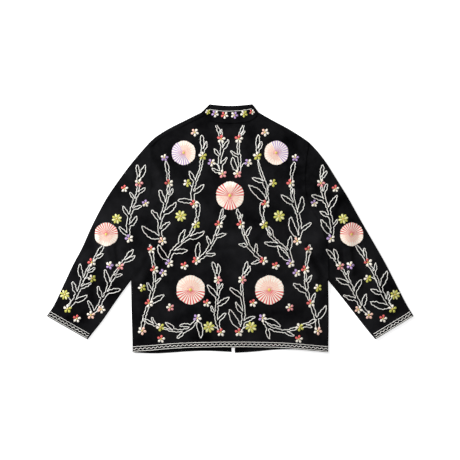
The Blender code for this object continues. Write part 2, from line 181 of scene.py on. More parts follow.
# Long soft folds of the top layer: the line each one lies along, its half width and height
FOLDS = (
    # start_x, start_y, end_x, end_y, half_width, height
    (-238, 232, -168, 158, 24, 1.7),
    (-222, 172, -182, 96, 22, 1.3),
    (232, 176, 128, 150, 24, 1.5),
    (252, 92, 168, 108, 22, 1.3),
    (208, -50, 272, -168, 21, 1.9),
    (252, -36, 262, -92, 20, 1.2),
    (-212, -58, -268, -150, 22, 1.4),
    (-128, 118, 150, 121, 26, 1.0),
    (-88, -18, -10, -58, 25, 1.1),
    (-10, -58, 66, -28, 25, 1.1),
    (-356, 8, -322, -178, 22, 1.5),
    (-402, -40, -398, -214, 20, 1.2),
    (330, 24, 352, -160, 22, 1.4),
    (398, -60, 436, -220, 20, 1.2),
    (-300, 96, -262, 16, 22, 1.2),
    (292, 92, 268, 10, 22, 1.3),
    (-190, -206, -160, -318, 26, 1.0),
    (150, -196, 176, -312, 26, 1.1),
    (-6, -170, 8, -330, 28, 0.8),
)

# Shorter creases of the top layer: ridges, and troughs where the height is negative
CREASES = (
    # start_x, start_y, end_x, end_y, half_width, height
    (-226, 210, -186, 128, 9, 2.8),
    (-214, 232, -150, 186, 8, -2.0),
    (-236, 176, -212, 120, 8, -1.8),
    (-200, 150, -168, 70, 11, 2.0),
    (236, 196, 166, 168, 9, 2.6),
    (214, 152, 118, 128, 9, -2.3),
    (240, 118, 176, 82, 10, 2.3),
    (222, 60, 150, 66, 11, -1.8),
    (212, -64, 246, -140, 8, 3.4),
    (226, -52, 268, -138, 7, -2.8),
    (240, -150, 262, -232, 11, 1.8),
    (-226, -74, -262, -138, 9, -2.3),
    (-244, -148, -256, -238, 12, 2.0),
    (-132, 128, -20, 122, 9, -2.0),
    (16, 124, 144, 128, 10, 1.8),
    (-86, -12, -44, -48, 9, 2.3),
    (-30, -62, 34, -56, 9, -2.0),
    (52, -44, 92, -6, 10, 1.8),
    (-150, -40, -120, -120, 12, 1.5),
    (128, -30, 150, -116, 12, -1.5),
    (-86, -226, -66, -326, 12, 1.8),
    (60, -210, 74, -322, 12, -1.8),
    (-222, -270, -214, -340, 11, 1.5),
    (212, -262, 222, -340, 11, 1.8),
    (-352, -62, -332, -128, 8, 2.8),
    (-322, -58, -310, -134, 7, -2.3),
    (-378, 8, -372, -76, 9, 2.0),
    (-420, -96, -410, -190, 9, 2.3),
    (-388, -150, -380, -246, 10, -2.0),
    (-462, -176, -452, -244, 9, 1.8),
    (-276, 150, -252, 70, 10, 2.3),
    (-312, 96, -290, 34, 9, -2.0),
    (266, 150, 250, 66, 10, -2.0),
    (310, 90, 286, 24, 9, 2.6),
    (340, -60, 348, -126, 8, 2.8),
    (318, -58, 326, -138, 7, -2.3),
    (378, -10, 384, -92, 9, 1.8),
    (404, -104, 424, -196, 9, 2.3),
    (380, -150, 402, -240, 10, -1.8),
    (456, -170, 470, -236, 9, 1.8),
)

# How the top layer's finer form is worked out, read by top_height
SURFACE = {}
RELIEF_REACH = 2.8
LEAST_HEIGHT = 3.25 * MM
LEAST_BLEND = 0.3 * MM
SOFT_WAVES = (
    # per_metre, height
    (7.0, 1.8 * MM),
    (21.0, 1.0 * MM),
)
FOLD_GAIN = 2.3
CREASE_GAIN = 1.25
SEAM_WELT = 1.5 * MM
SEAM_WELT_REACH = 10 * MM
PUCKER_HEIGHT = 0.6 * MM
PUCKER_REACH = 11 * MM
PUCKERS_PER_METRE = 85.0
HEM_DEPTH = 22 * MM
HEM_RAISE = 0.4 * MM
HEM_RIPPLE = 0.5
HEM_GROOVE = 0.5 * MM
HEM_GROOVE_REACH = 2.0 * MM
UNDERSIDE_PER_METRE = 10.0
UNDERSIDE_STRETCH = 0.6
UNDERSIDE_REST = 0.12
UNDERSIDE_HOLLOW = 1.2 * MM

# Levels of the noise field where its uses are read, so that they differ
PUCKER_LEVEL = 1.0
UNDERSIDE_LEVEL = 2.0
WAVER_LEVEL = 4.0

# Cord: its half-round section, and how it wavers where it was laid by hand
CORD_WIDTH = 2.15 * MM
CORD_HEIGHT = 1.0 * MM
CORD_STEP = 1.4 * MM
CORD_SUNK = 0.3 * MM
CORD_TWIST = 0.15
CORD_SECTION = ((-0.5, 0.0), (-0.34, 0.72), (0.0, 1.0), (0.34, 0.72), (0.5, 0.0))
LEAST_CORD_STEPS = 3
SHORTEST_CORD = 4
WAVER = 2.6 * MM
WAVERS_PER_METRE = 165.0
SHARP_THREAD = math.radians(62)

# Borders of two plain cords with a waved one between them
BORDER_WIDTH = 1.55 * MM
BORDER_LINES = (2.7 * MM, 15.8 * MM)
BORDER_WAVE_MIDDLE = 9.2 * MM
BORDER_WAVE_HEIGHT = 1.9 * MM
BORDER_WAVE_LENGTH = 12 * MM
BORDER_WAVER = 0.5 * MM
BORDER_SIDE_MARGIN = 3.2 * MM
BORDER_STEPS = 60

# How far the sprays stay inside each edge of the top layer, and clear of what is laid before
EDGE_MARGINS = {"fold": 6 * MM, "shoulder": 17 * MM, "hem": 25 * MM, "neck": 8 * MM}
ROUND_COVER = 0.72
ROUND_POINTS = 24
LARGEST_ROUND = 45 * MM
LEAF_CLEAR = 5.0 * MM
TAKEN_CELL = 8 * MM

# Fronds: a stem and its leaves in one corded outline, placed by shares of the stem's length
FROND_SEED = 11
STEM_STEPS = 60
FROND_SPACING = 50 * MM
FROND_LEAST_PAIRS = 3
FROND_STEM = 5.0 * MM
FROND_STEM_TIP = 2.6 * MM
FROND_FIRST = 0.08
FROND_LAST = 0.88
FROND_MOST = 0.97
FROND_STAGGER = 0.45
FROND_BARE_SHARES = (0.62, 0.4)  # of the gap before a leaf
FROND_TIP = 0.8

# Leaves of a frond: lengths as shares of its own leaf length, and angles in degrees
LEAF_SHARES = (1.32, 0.86, 1.14, 0.74)
LEAF_SIZE = 1.06
LEAF_SIZE_LESS = 0.36
LEAF_STRAYS = (0.9, 1.1)
LEAF_SHRINKS = (1.0, 0.8, 0.62)
LEAF_WIDTH_SHARE = 0.31
LEAF_WIDE_IN = 0.75
LEAF_FULL = 0.6
LEAF_NECK = 6.4 * MM
LEAF_FREE_FROM = 1.4  # of the neck's width
LEAF_ANGLE = 58.0
LEAF_ANGLE_LESS = 22.0
LEAF_ANGLE_STRAY = 7.0
LEAF_CURLS = (-12, 42)
LEAF_BEND = 0.6
LOBE_POINTS = 9

# Blossoms along a frond's stem
BLOOM_EVERY = 85 * MM
BLOOM_LEAST = 2
BLOOM_FIRST = 0.02
BLOOM_RUN = 0.86
BLOOM_RADIUS = 12.8 * MM
BLOOM_PETALS = 5
BLOOM_COLOURS = (
    # main, second
    ("ivory", "coral"),
    ("ivory", "lilac"),
    ("pink", "ivory"),
    ("ivory", "peach"),
    ("chartreuse", "ivory"),
    ("ivory", "coral"),
    ("peach", "ivory"),
)

# Fronds of one half of the jacket, mirrored onto the other half
FRONDS = (
    # panel, start_x, start_y, bend_x, bend_y, turn_x, turn_y, end_x, end_y, leaf
    ("back", 24, -300, 60, -240, 18, -190, 40, -126, 41),
    ("back", 92, -254, 108, -300, 150, -306, 222, -272, 35),
    ("back", 250, -296, 252, -230, 196, -190, 220, -84, 47),
    ("back", 172, -104, 184, -40, 96, -50, 92, 36, 47),
    ("back", 98, -94, 58, -74, 40, -30, 26, 30, 33),
    ("back", 190, -40, 226, 20, 158, 70, 176, 156, 43),
    ("back", 100, 66, 128, 110, 70, 150, 78, 232, 43),
    ("back", 20, 152, 44, 190, 10, 220, 30, 270, 31),
    ("sleeve", 464, -232, 424, -190, 426, -140, 378, -76, 43),
    ("sleeve", 398, -250, 350, -210, 352, -150, 296, -86, 41),
    ("sleeve", 286, -34, 306, 40, 250, 84, 260, 150, 39),
)

# Tendrils: single cords that leave a frond's stem and curve out to a lone blossom
TENDRIL_STEPS = 30
TENDRIL_LEAST = 18 * MM
TENDRIL_MOST = 75 * MM
TENDRIL_BACK = 0.8
TENDRIL_BEND = 0.55
TENDRIL_CLEAR = 6.5 * MM
TENDRIL_FOOT = 13 * MM
TENDRIL_END = 1.5

# Blossoms that stand by themselves on one half, mirrored too
BLOSSOMS = (
    # panel, x, y, radius, petals, main, second
    ("back", 66, -214, 12, 5, "ivory", "coral"),
    ("back", 170, -226, 12, 5, "pink", "ivory"),
    ("back", 60, -282, 17, 8, "chartreuse", "butter"),
    ("back", 190, -128, 12, 5, "ivory", "lilac"),
    ("back", 250, -170, 12, 5, "chartreuse", "ivory"),
    ("back", 130, -108, 12, 5, "ivory", "coral"),
    ("back", 140, 34, 17, 8, "chartreuse", "butter"),
    ("back", 224, -62, 12, 5, "ivory", "coral"),
    ("back", 122, 128, 12, 5, "chartreuse", "ivory"),
    ("back", 52, 186, 12, 5, "ivory", "lilac"),
    ("back", 186, 200, 11, 5, "lilac", "ivory"),
    ("back", 100, 272, 12, 5, "ivory", "peach"),
    ("back", 196, -316, 12, 5, "ivory", "coral"),
    ("sleeve", 392, -144, 12, 5, "chartreuse", "ivory"),
    ("sleeve", 436, -258, 12, 5, "ivory", "coral"),
    ("sleeve", 342, -106, 12, 5, "lilac", "ivory"),
    ("sleeve", 322, 26, 15, 8, "chartreuse", "butter"),
    ("sleeve", 300, 112, 11, 5, "ivory", "coral"),
    ("sleeve", 240, 70, 11, 5, "ivory", "lilac"),
    ("sleeve", 470, -190, 15, 8, "chartreuse", "butter"),
    ("sleeve", 366, -232, 12, 5, "ivory", "peach"),
)

# Blossoms: lengths and widths as shares of the radius, and powers that shape a petal
BLOSSOM_SEED = 5
BLOSSOM_TURN = 1.2
BLOSSOM_KNOT = 0.2
PETAL_START = 0.1
PETAL_LENGTH = 0.9
PETAL_WIDTHS = {5: 0.64, 8: 0.46}
PETAL_WIDE_OUT = 1.5
PETAL_FULL = 0.78
PETAL_ROUND = 0.4
PETAL_LEAST = 0.2
PETAL_RISE = 1.1 * MM
PETAL_RIDGE = 0.22 * MM
PETAL_STEPS = 6
PETAL_ACROSS = (-1.0, -0.78, -0.5, -0.26, 0.0, 0.26, 0.5, 0.78, 1.0)
SECOND_PETALS = {5: (1, 2), 8: (1, 3, 5, 7)}
KNOT_RISE = 1.9 * MM
KNOT_SIDES = 8
KNOT_PROFILE = ((1.0, 0.0), (0.9, 0.6), (0.5, 0.92))
STITCH_SUNK = 0.3 * MM

# Rosettes, in the places of the solids: satin stitches from the middle to the rim
ROSETTES = (
    # name, x, y, radius, striped petals (counted from the right, against the clock), accent
    ("rosette_centre", 0, 92, 41, (0, 2, 4), "coral"),
    ("rosette_yoke_left", -132, 214, 35, (2, 3, 4), "lilac"),
    ("rosette_yoke_right", 132, 214, 35, (0, 1, 5), "lilac"),
    ("rosette_low_left", -112, -176, 42, (3, 4, 5), "coral"),
    ("rosette_low_right", 112, -176, 42, (3, 4, 5), "coral"),
    ("rosette_sleeve_left", -352, -18, 34, (0, 1, 2), "coral"),
    ("rosette_sleeve_right", 346, -18, 34, (0, 1, 2), "coral"),
)
ROSETTE_SEED = 3
ROSETTE_PETALS = 6
PETAL_STITCHES = 9
ROSETTE_STEPS = 3
ROSETTE_RINGS = 15
ROSETTE_LIFT = 0.4 * MM
ROSETTE_MIDDLE_THICK = 1.7 * MM
ROSETTE_RIM_THICK = 0.9 * MM
ROSETTE_GROOVE = 0.45 * MM
ROSETTE_UNEVEN = 0.03
ROSETTE_NOTCH = 0.04
ROSETTE_RIM_POWER = 6
ROSETTE_STRANDS = 0.6
ROSETTE_KNOT = 0.15
ROSETTE_KNOT_RISE = 3.0 * MM

# From a share of the radius, give or take how far it strays, the threads of each kind of stitch
ROSETTE_SHADES = (
    # from_share, strays, striped_even, striped_odd, plain_even, plain_odd
    (0.00, 0.00, "accent", "pink", "peach", "pink"),
    (0.24, 0.06, "accent", "shell", "peach", "shell"),
    (0.42, 0.08, "accent", "ivory", "peach", "shell"),
    (0.66, 0.08, "accent", "ivory", "shell", "ivory"),
    (0.90, 0.05, "accent", "ivory", "shell", "ivory"),
)

# Collar: a cord under its top edge, with blossoms hanging from it
COLLAR_LINE = ((-60.7, 337.6), (-34.0, 334.0), (-7.1, 332.2), (30.0, 334.2), (62.7, 338.6))
COLLAR_BLOSSOMS = (
    # x, y, radius, petals, main, second
    (-63, 330, 8, 5, "chartreuse", "ivory"),
    (-42, 325, 11, 5, "ivory", "lilac"),
    (-15, 321, 11, 5, "ivory", "coral"),
    (13, 321, 11, 5, "lilac", "ivory"),
    (40, 325, 11, 5, "chartreuse", "ivory"),
    (63, 330, 8, 5, "ivory", "coral"),
)

# Thread colours on the screen, from 0 to 255
THREADS = {
    "cord": (250, 248, 242),
    "ivory": (254, 246, 232),
    "butter": (242, 238, 168),
    "shell": (253, 226, 210),
    "coral": (232, 103, 100),
    "pink": (245, 164, 165),
    "peach": (252, 205, 185),
    "lilac": (190, 158, 212),
    "chartreuse": (202, 200, 92),
    "yellow": (226, 198, 96),
}

# Ramps of (position, colour) for the cloth and the floor, and the painted shade that darkens a thread's
# colour in the grooves between its strands
CLOTH_FADING = ((0.34, (2, 2, 3)), (0.68, (29, 29, 31)))
FLOOR_TONES = ((0.0, (249, 249, 249)), (1.0, (252, 252, 252)))
THREAD_SHADE = 0.84
THREAD_LIT_FROM = 0.5

# Constant inputs of the shaders, textures and bumps
CLOTH_SHADER = {
    "Roughness": 0.9,
    "Specular IOR Level": 0.02,
    "Sheen Weight": 0.006,
    "Sheen Roughness": 0.5,
}
THREAD_SHADER = {"Roughness": 0.5, "Specular IOR Level": 0.35, "Sheen Weight": 0.12}
FLOOR_SHADER = {
    "Roughness": 0.9,
    "Specular IOR Level": 0.1,
    "Emission Color": WHITE,
    "Emission Strength": 0.6,
}
CLOTH_CLOUDS = {"Scale": 7.0, "Detail": 9.0, "Roughness": 0.68}
WEAVE = {"Scale": 180.0, "Distortion": 0.6, "Detail": 1.0}
WEAVE_BUMP = {"Strength": 0.35, "Distance": 0.2 * MM}
SLUBS = {"Scale": 260.0, "Detail": 3.0}
SLUB_BUMP = {"Strength": 0.5, "Distance": 0.6 * MM}
STRANDS = {"Scale": 320.0, "Distortion": 1.4, "Detail": 1.0}
STRAND_BUMP = {"Strength": 0.45, "Distance": 0.2 * MM}
FLOOR_GRAIN = {"Scale": 40.0, "Detail": 2.0}

# Stage, light and camera
FLOOR_SIZE = 80.0
FLOOR_HEIGHT = -0.3 * MM
WORLD_STRENGTH = 0.28
LIGHTS = (
    # name, x, y, z, size, power
    ("key", -2.6, 2.0, 1.4, 1.2, 252.0),
    ("top", 0.6, 0.4, 3.4, 2.0, 12.0),
)
CAMERA_LENS = 85.0
CAMERA_SENSOR = 36.0
FRAME_WIDTH = 1.311
PHOTO_MIDDLE_Y = -5.7


def plan(x, y):
    """A place on the tables' plan as a point of the model's plan."""
    return Vector(((x - MIDDLE_X) * MM, (y - MIDDLE_Y) * MM))


def raised(point, height):
    """A plan point lifted to a height."""
    return Vector((point.x, point.y, height))


def turned(way, angle):
    """A plan direction turned by an angle, against the clock."""
    cosine = math.cos(angle)
    sine = math.sin(angle)
    return Vector((way.x * cosine - way.y * sine, way.x * sine + way.y * cosine))


def right_of(way):
    """The plan direction to the right of another."""
    return Vector((way.y, -way.x))


def line_length(line):
    return sum((b - a).length for a, b in zip(line, line[1:]))


def smooth(rows):
    """A dense plan line, in metres, that passes through the rows and is rounded between them."""
    points = [plan(x, y) for x, y in rows]
    ends = [2 * points[0] - points[1], *points, 2 * points[-1] - points[-2]]
    line = []
    for a, b, c, d in zip(ends, ends[1:], ends[2:], ends[3:]):
        for step in range(CURVE_STEPS):
            t = step / CURVE_STEPS
            square = (2 * a - 5 * b + 4 * c - d) * t * t
            cube = (3 * b - a - 3 * c + d) * t * t * t
            line.append(0.5 * (2 * b + (c - a) * t + square + cube))
    line.append(points[-1])
    return line


def side_line(table, side):
    """The smooth line of one side from a table with y, x_left and x_right."""
    column = 1 if side == "left" else 2
    return smooth([(row[column], row[0]) for row in table])


def cuff_line(side):
    """The straight edge of a cuff, from the outer fold to the under-arm fold."""
    return [side_line(SLEEVE_OUTER, side)[-1], side_line(SLEEVE_INNER, side)[-1]]


def even(count):
    """Shares from 0 to 1 in equal steps."""
    return [step / count for step in range(count + 1)]


def spread(line, fractions):
    """The points of a line at the given fractions of its length."""
    lengths = [0.0]
    for a, b in zip(line, line[1:]):
        lengths.append(lengths[-1] + (b - a).length)
    found = []
    place = 0
    for fraction in fractions:
        wanted = fraction * lengths[-1]
        while place < len(line) - 2 and lengths[place + 1] < wanted:
            place += 1
        part = (wanted - lengths[place]) / (lengths[place + 1] - lengths[place])
        found.append(line[place].lerp(line[place + 1], min(max(part, 0.0), 1.0)))
    return found


def tangents(points):
    """The unit direction of a line at each of its points."""
    last = len(points) - 1
    return [(points[min(i + 1, last)] - points[max(i - 1, 0)]).normalized() for i in range(last + 1)]


def moved_across(points, amount):
    """The same line moved sideways: to its right for a positive amount."""
    return [p + amount * right_of(t) for p, t in zip(points, tangents(points))]


def patch(bottom, top, left, right):
    """Rows of plan points spread between four edges that share their corners (a Coons patch)."""
    width = (bottom[-1] - bottom[0]).length
    across = [(p - bottom[0]).length / width for p in bottom]
    across[-1] = 1.0
    up = even(len(left) - 1)
    rows = []
    for v, start, end in zip(up, left, right):
        row = []
        for u, low, high in zip(across, bottom, top):
            ruled = low.lerp(high, v) + start.lerp(end, u)
            corners = bottom[0].lerp(bottom[-1], u).lerp(top[0].lerp(top[-1], u), v)
            row.append(ruled - corners)
        rows.append(row)
    return rows


def nearest_on_segment(point, row):
    """How far a plan point lies from the middle line of a fold or crease, in half widths."""
    start, run, half_width = row
    share = min(max((point - start).dot(run) / run.length_squared, 0.0), 1.0)
    return (point - start - share * run).length / half_width


def prepared(rows):
    """Folds or creases as start, run and half width, and the height, in metres."""
    ready = []
    for start_x, start_y, end_x, end_y, half_width, height in rows:
        run = Vector(((end_x - start_x) * MM, (end_y - start_y) * MM))
        ready.append(((plan(start_x, start_y), run, half_width * MM), height * MM))
    return ready


def relief(point, rows):
    """The summed height of folds or creases at a plan point."""
    total = 0.0
    for row, height in rows:
        away = nearest_on_segment(point, row)
        if away < RELIEF_REACH:
            total += height * math.exp(-away * away)
    return total


def line_tree(lines):
    """A search tree over the points of plan lines."""
    points = [p for line in lines for p in line]
    tree = KDTree(len(points))
    for number, point in enumerate(points):
        tree.insert(raised(point, 0), number)
    tree.balance()
    return tree


def distance_to(tree, point):
    """Distance from a plan point to the nearest point of a search tree."""
    return tree.find(raised(point, 0))[2]


def dense(line):
    """The same line with a point about every millimetre."""
    return spread(line, even(max(2, int(line_length(line) / MM))))


def seam_rows():
    """Points of the top layer's seams, each with the way to its thicker side."""
    lines = [(smooth(BACK_NECK), -1)]
    for side, mirror in SIDES.items():
        lines.append((side_line(ARMHOLE_SEAM, side), mirror))
        lines.append((back_shoulder_line(side), -mirror))
    rows = []
    for line, hand in lines:
        line = dense(line)
        rows += [(point, right_of(way) * hand) for point, way in zip(line, tangents(line))]
    return rows


def seam_side(point):
    """Distance to the nearest seam, and whether a plan point is on its thicker side."""
    _, number, distance = SURFACE["seam_tree"].find(raised(point, 0))
    place, way = SURFACE["seams"][number]
    return distance, (point - place).dot(way) > 0


def prepare_surface():
    """What top_height reads at each point: folds, creases, seams, and the turned hems."""
    SURFACE["folds"] = prepared(FOLDS)
    SURFACE["creases"] = prepared(CREASES)
    SURFACE["seams"] = seam_rows()
    SURFACE["seam_tree"] = line_tree([[point for point, _ in SURFACE["seams"]]])
    hems = [smooth(BACK_HEM), *(cuff_line(side) for side in SIDES)]
    SURFACE["hems"] = line_tree([dense(line) for line in hems])


def top_height(point):
    """Height of the top layer's outer face: the solids' bed and folds, then finer creases."""
    height = TOP_LAYER + FOLD_GAIN * relief(point, SURFACE["folds"])
    height += CREASE_GAIN * relief(point, SURFACE["creases"])
    for per_metre, depth in SOFT_WAVES:
        height += depth * noise.noise(raised(point, 0) * per_metre)
    seam, beyond = seam_side(point)
    if beyond:
        height += SEAM_WELT * math.exp(-seam / SEAM_WELT_REACH)
    height += PUCKER_HEIGHT * math.exp(-seam / PUCKER_REACH) * pucker(point)
    hem = distance_to(SURFACE["hems"], point)
    if hem < HEM_DEPTH:
        height += HEM_RAISE * (1 + HEM_RIPPLE * pucker(point))
    height -= HEM_GROOVE * math.exp(-(((hem - HEM_DEPTH) / HEM_GROOVE_REACH) ** 2))
    spare = (height - LEAST_HEIGHT) / 2
    return LEAST_HEIGHT + spare + math.hypot(spare, LEAST_BLEND)


def pucker(point):
    """A short uneven ripple, as a line of stitching leaves in cloth."""
    return noise.noise(raised(point, PUCKER_LEVEL) * PUCKERS_PER_METRE)


def floor_height(point):
    """Height of the underside: flat on the floor, with a few shallow hollows that lift off it."""
    place = Vector((point.x * UNDERSIDE_STRETCH, point.y, UNDERSIDE_LEVEL))
    lift = noise.noise(place * UNDERSIDE_PER_METRE)
    return max(0.0, lift - UNDERSIDE_REST) * UNDERSIDE_HOLLOW


def placed(name, data):
    """A new object in the scene."""
    thing = bpy.data.objects.new(name, data)
    bpy.context.scene.collection.objects.link(thing)
    return thing


def build_wall(name, pairs, faces, finish):
    """A closed wall from pairs of outer and inner points: two skins of like faces, and cut edges."""
    count = len(pairs)
    skins = [tuple(face) for face in faces]
    skins += [tuple(corner + count for corner in reversed(face)) for face in faces]
    directed = set()
    for face in faces:
        directed.update(zip(face, [*face[1:], face[0]]))
    rims = [(b, a, a + count, b + count) for a, b in sorted(directed) if (b, a) not in directed]
    points = [pair[0] for pair in pairs]
    points += [pair[1] for pair in pairs]
    mesh = bpy.data.meshes.new(name)
    mesh.from_pydata(points, [], skins + rims)
    turner = bmesh.new()
    turner.from_mesh(mesh)
    bmesh.ops.recalc_face_normals(turner, faces=turner.faces)
    turner.to_mesh(mesh)
    turner.free()
    mesh.materials.append(finish)
    mesh.shade_smooth()
    mesh.set_sharp_from_angle(angle=SHARP_CLOTH)
    return placed(name, mesh)


def rolled(turn, reach, start, end, cloth):
    """A point of a rounded fold: outer and inner distance from the fold line, and heights.

    At turn 0 it is the outermost point, at height start. At a quarter turn it is flat, at
    height end, and reach is its distance from the fold line there.
    """
    rise = end - start
    out_distance = reach * (1 - math.cos(turn))
    out_height = start + rise * math.sin(turn)
    normal = Vector((-abs(rise) * math.cos(turn), math.copysign(reach, rise) * math.sin(turn)))
    normal.normalize()
    in_distance = out_distance - cloth * normal.x
    in_height = out_height - cloth * normal.y
    return out_distance, out_height, in_distance, in_height


def quarter_turns():
    return [math.pi / 2 * step / ROLL_STEPS for step in range(ROLL_STEPS + 1)]


def grid_faces(rows, columns, closed=False):
    """Faces of a grid with the given numbers of points, closed round its columns or not."""
    faces = []
    for row in range(rows - 1):
        for column in range(columns if closed else columns - 1):
            beside = (column + 1) % columns
            low = row * columns
            faces.append((low + column, low + beside, low + columns + beside, low + columns + column))
    return faces


def edge_pairs(edge, towards, tangent, profile):
    """Outer and inner points of a rounded edge from its (distance, height) profile."""
    slant = abs(towards.cross(tangent))
    return [
        (raised(edge + towards * (d_out / slant), z_out), raised(edge + towards * (d_in / slant), z_in))
        for d_out, z_out, d_in, z_in in profile
    ]


def neck_points():
    """The back neck seam from left to right: its ends, the wrapped fronts' edges, and between."""
    line = smooth(BACK_NECK)
    wrap = (SHOULDER_WRAP + SEAM_GAP / 2) / line_length(line)
    between = [wrap + (1 - 2 * wrap) * step for step in even(BACK_NECK_COLUMNS)]
    return spread(line, [0.0, *between, 1.0])


def front_neck_points(side):
    return spread(smooth(FRONT_NECK[side]), even(FRONT_NECK_COLUMNS))


def armhole_points(side):
    """The armhole seam from the shoulder down to the under-arm, which its three pieces share."""
    return spread(side_line(ARMHOLE_SEAM, side), even(ARMHOLE_ROWS))


def turning(start, end, count):
    """Unit directions that turn evenly from one to another."""
    return [start.normalized().lerp(end.normalized(), step).normalized() for step in even(count)]


def shoulder_frame(side):
    """The shoulder fold from neck to armhole: its points, tangents, and ways in over and under."""
    count = SHOULDER_COLUMNS
    fold = spread(side_line(SHOULDER_FOLD, side), even(count))
    neck = neck_points() if side == "left" else neck_points()[::-1]
    front_neck = front_neck_points(side)
    armhole = armhole_points(side)
    over = turning(neck[1] - neck[0], armhole[1] - armhole[0], count)
    under = turning(front_neck[-2] - front_neck[-1], armhole[1] - armhole[0], count)
    along = tangents(fold)
    fold[-1] = fold[-1] + Vector((-SIDES[side] * SEAM_GAP / 2, 0))
    return fold, along, over, under


def moved_in(edges, ways, along, distance):
    """Points at the given distance from a fold, measured square to it, along the given ways."""
    return [p + way * (distance / abs(way.cross(t))) for p, way, t in zip(edges, ways, along)]


def back_shoulder_line(side):
    """The back's shoulder edge, from neck to armhole, clear of the front's wrapped edge."""
    fold, along, over, _ = shoulder_frame(side)
    return moved_in(fold, over, along, SHOULDER_WRAP + SEAM_GAP)


def back_side_line(side, shoulder_end):
    """The back's side from hem to under-arm, then its armhole edge up to the shoulder seam."""
    low = spread(side_line(SIDE_SEAM, side)[::-1], even(SIDE_ROWS))
    seam = armhole_points(side)[::-1]
    clear = [p + Vector((-SIDES[side] * SEAM_GAP / 2, 0)) for p in seam[1:-1]]
    near = [clear[-1].lerp(shoulder_end, share) for share in SHOULDER_END_SHARES]
    return [*low, *clear, *near, shoulder_end]


def build_back(cloth):
    """The back panel: its hem, side folds, armholes, shoulder seams and neck."""
    left_shoulder = back_shoulder_line("left")[::-1]
    right_shoulder = back_shoulder_line("right")
    neck = moved_across(neck_points(), SEAM_GAP / 2)
    top = [*left_shoulder, *neck[2:-2], *right_shoulder]
    width = top[-1].x - top[0].x
    bottom = spread(smooth(BACK_HEM), [(p.x - top[0].x) / width for p in top])
    left = back_side_line("left", top[0])
    right = back_side_line("right", top[-1])
    rows = patch(bottom, top, left, right)
    pairs = []
    for number, (row, left_way, right_way) in enumerate(zip(rows, tangents(left), tangents(right))):
        folded = number <= SIDE_ROWS
        left_roll = side_roll(row[0], row[1], left_way, folded)
        right_roll = side_roll(row[-1], row[-2], right_way, folded)
        pairs += [*left_roll, *(top_pair(p) for p in row[1:-1]), *reversed(right_roll)]
    return build_wall("back_cloth", pairs, grid_faces(len(rows), len(pairs) // len(rows)), cloth)


def top_pair(point):
    """Outer and inner point of the top layer."""
    height = top_height(point)
    return raised(point, height), raised(point, height - CLOTH)


def floor_pair(point):
    """Outer and inner point of the bottom layer."""
    height = floor_height(point)
    return raised(point, height), raised(point, height + CLOTH)


def side_roll(edge, beside, along, folded):
    """The columns of the back at one side edge: rolled down where the side folds, else flat."""
    towards = (beside - edge).normalized()
    high = top_height(edge)
    reach = SIDE_ROLL_SHARE * (high - SIDE_EDGE_LOW)
    profile = [rolled(turn, reach, SIDE_EDGE_LOW, high, CLOTH) for turn in quarter_turns()]
    if folded:
        return edge_pairs(edge, towards, along, profile)
    return [top_pair(edge + towards * d_out) for d_out, _, _, _ in profile]


def front_side_line(side, shoulder_end):
    """The front's side from hem to under-arm, inside the back's fold, then its armhole edge."""
    inwards = Vector((-SIDES[side], 0))
    low = spread(side_line(SIDE_SEAM, side)[::-1], even(FRONT_SIDE_ROWS))
    low = [p + inwards * FRONT_INSIDE_SIDE for p in low]
    clear = [p + inwards * SEAM_GAP / 2 for p in armhole_points(side)[-2:0:-1]]
    return [*low, *clear, shoulder_end]


def build_front(side, cloth):
    """One front: flat on the floor, then wrapped round the shoulder fold onto the back."""
    fold, along, over, under = shoulder_frame(side)
    shoulder = moved_in(fold, under, along, FOLD_MIDDLE)
    top = [*front_neck_points(side)[:-1], *shoulder]
    outer_edge = front_side_line(side, shoulder[-1])
    hem_line = smooth(FRONT_HEM[side])
    hem_line[-1] = outer_edge[0]
    width = top[-1].x - top[0].x
    bottom = spread(hem_line, [(p.x - top[0].x) / width for p in top])
    inner_edge = spread(smooth(FRONT_CENTRE[side]), even(len(outer_edge) - 1))
    rows = patch(bottom, top, inner_edge, outer_edge)
    pairs = [floor_pair(p) for row in rows[:-1] for p in row]
    pairs += [(raised(p, 0.0), raised(p, CLOTH)) for p in rows[-1]]
    faces = grid_faces(len(rows), len(top))
    add_shoulder_wrap(pairs, faces, zip(fold, along, over, under))
    return build_wall(f"front_{side}_cloth", pairs, faces, cloth)


def add_shoulder_wrap(pairs, faces, shoulder):
    """Rows that carry the front's shoulder edge round the fold to its seam on the back."""
    turns = quarter_turns()
    below = [rolled(turn, FOLD_MIDDLE, FOLD_MIDDLE, 0.0, CLOTH) for turn in turns[-2:0:-1]]
    columns = []
    for edge, tangent, over, under in shoulder:
        high = top_height(edge)
        above = [rolled(turn, high - FOLD_MIDDLE, FOLD_MIDDLE, high, CLOTH) for turn in turns]
        column = [*edge_pairs(edge, under, tangent, below), *edge_pairs(edge, over, tangent, above)]
        slant = abs(over.cross(tangent))
        for share in WRAP_SHARES:
            column.append(top_pair(edge + over * (SHOULDER_WRAP * share / slant)))
        columns.append(column)
    start = len(pairs) - len(columns)
    for row in zip(*columns):
        pairs += row
    for face in grid_faces(len(columns[0]) + 1, len(columns)):
        faces.append(tuple(start + corner for corner in face))


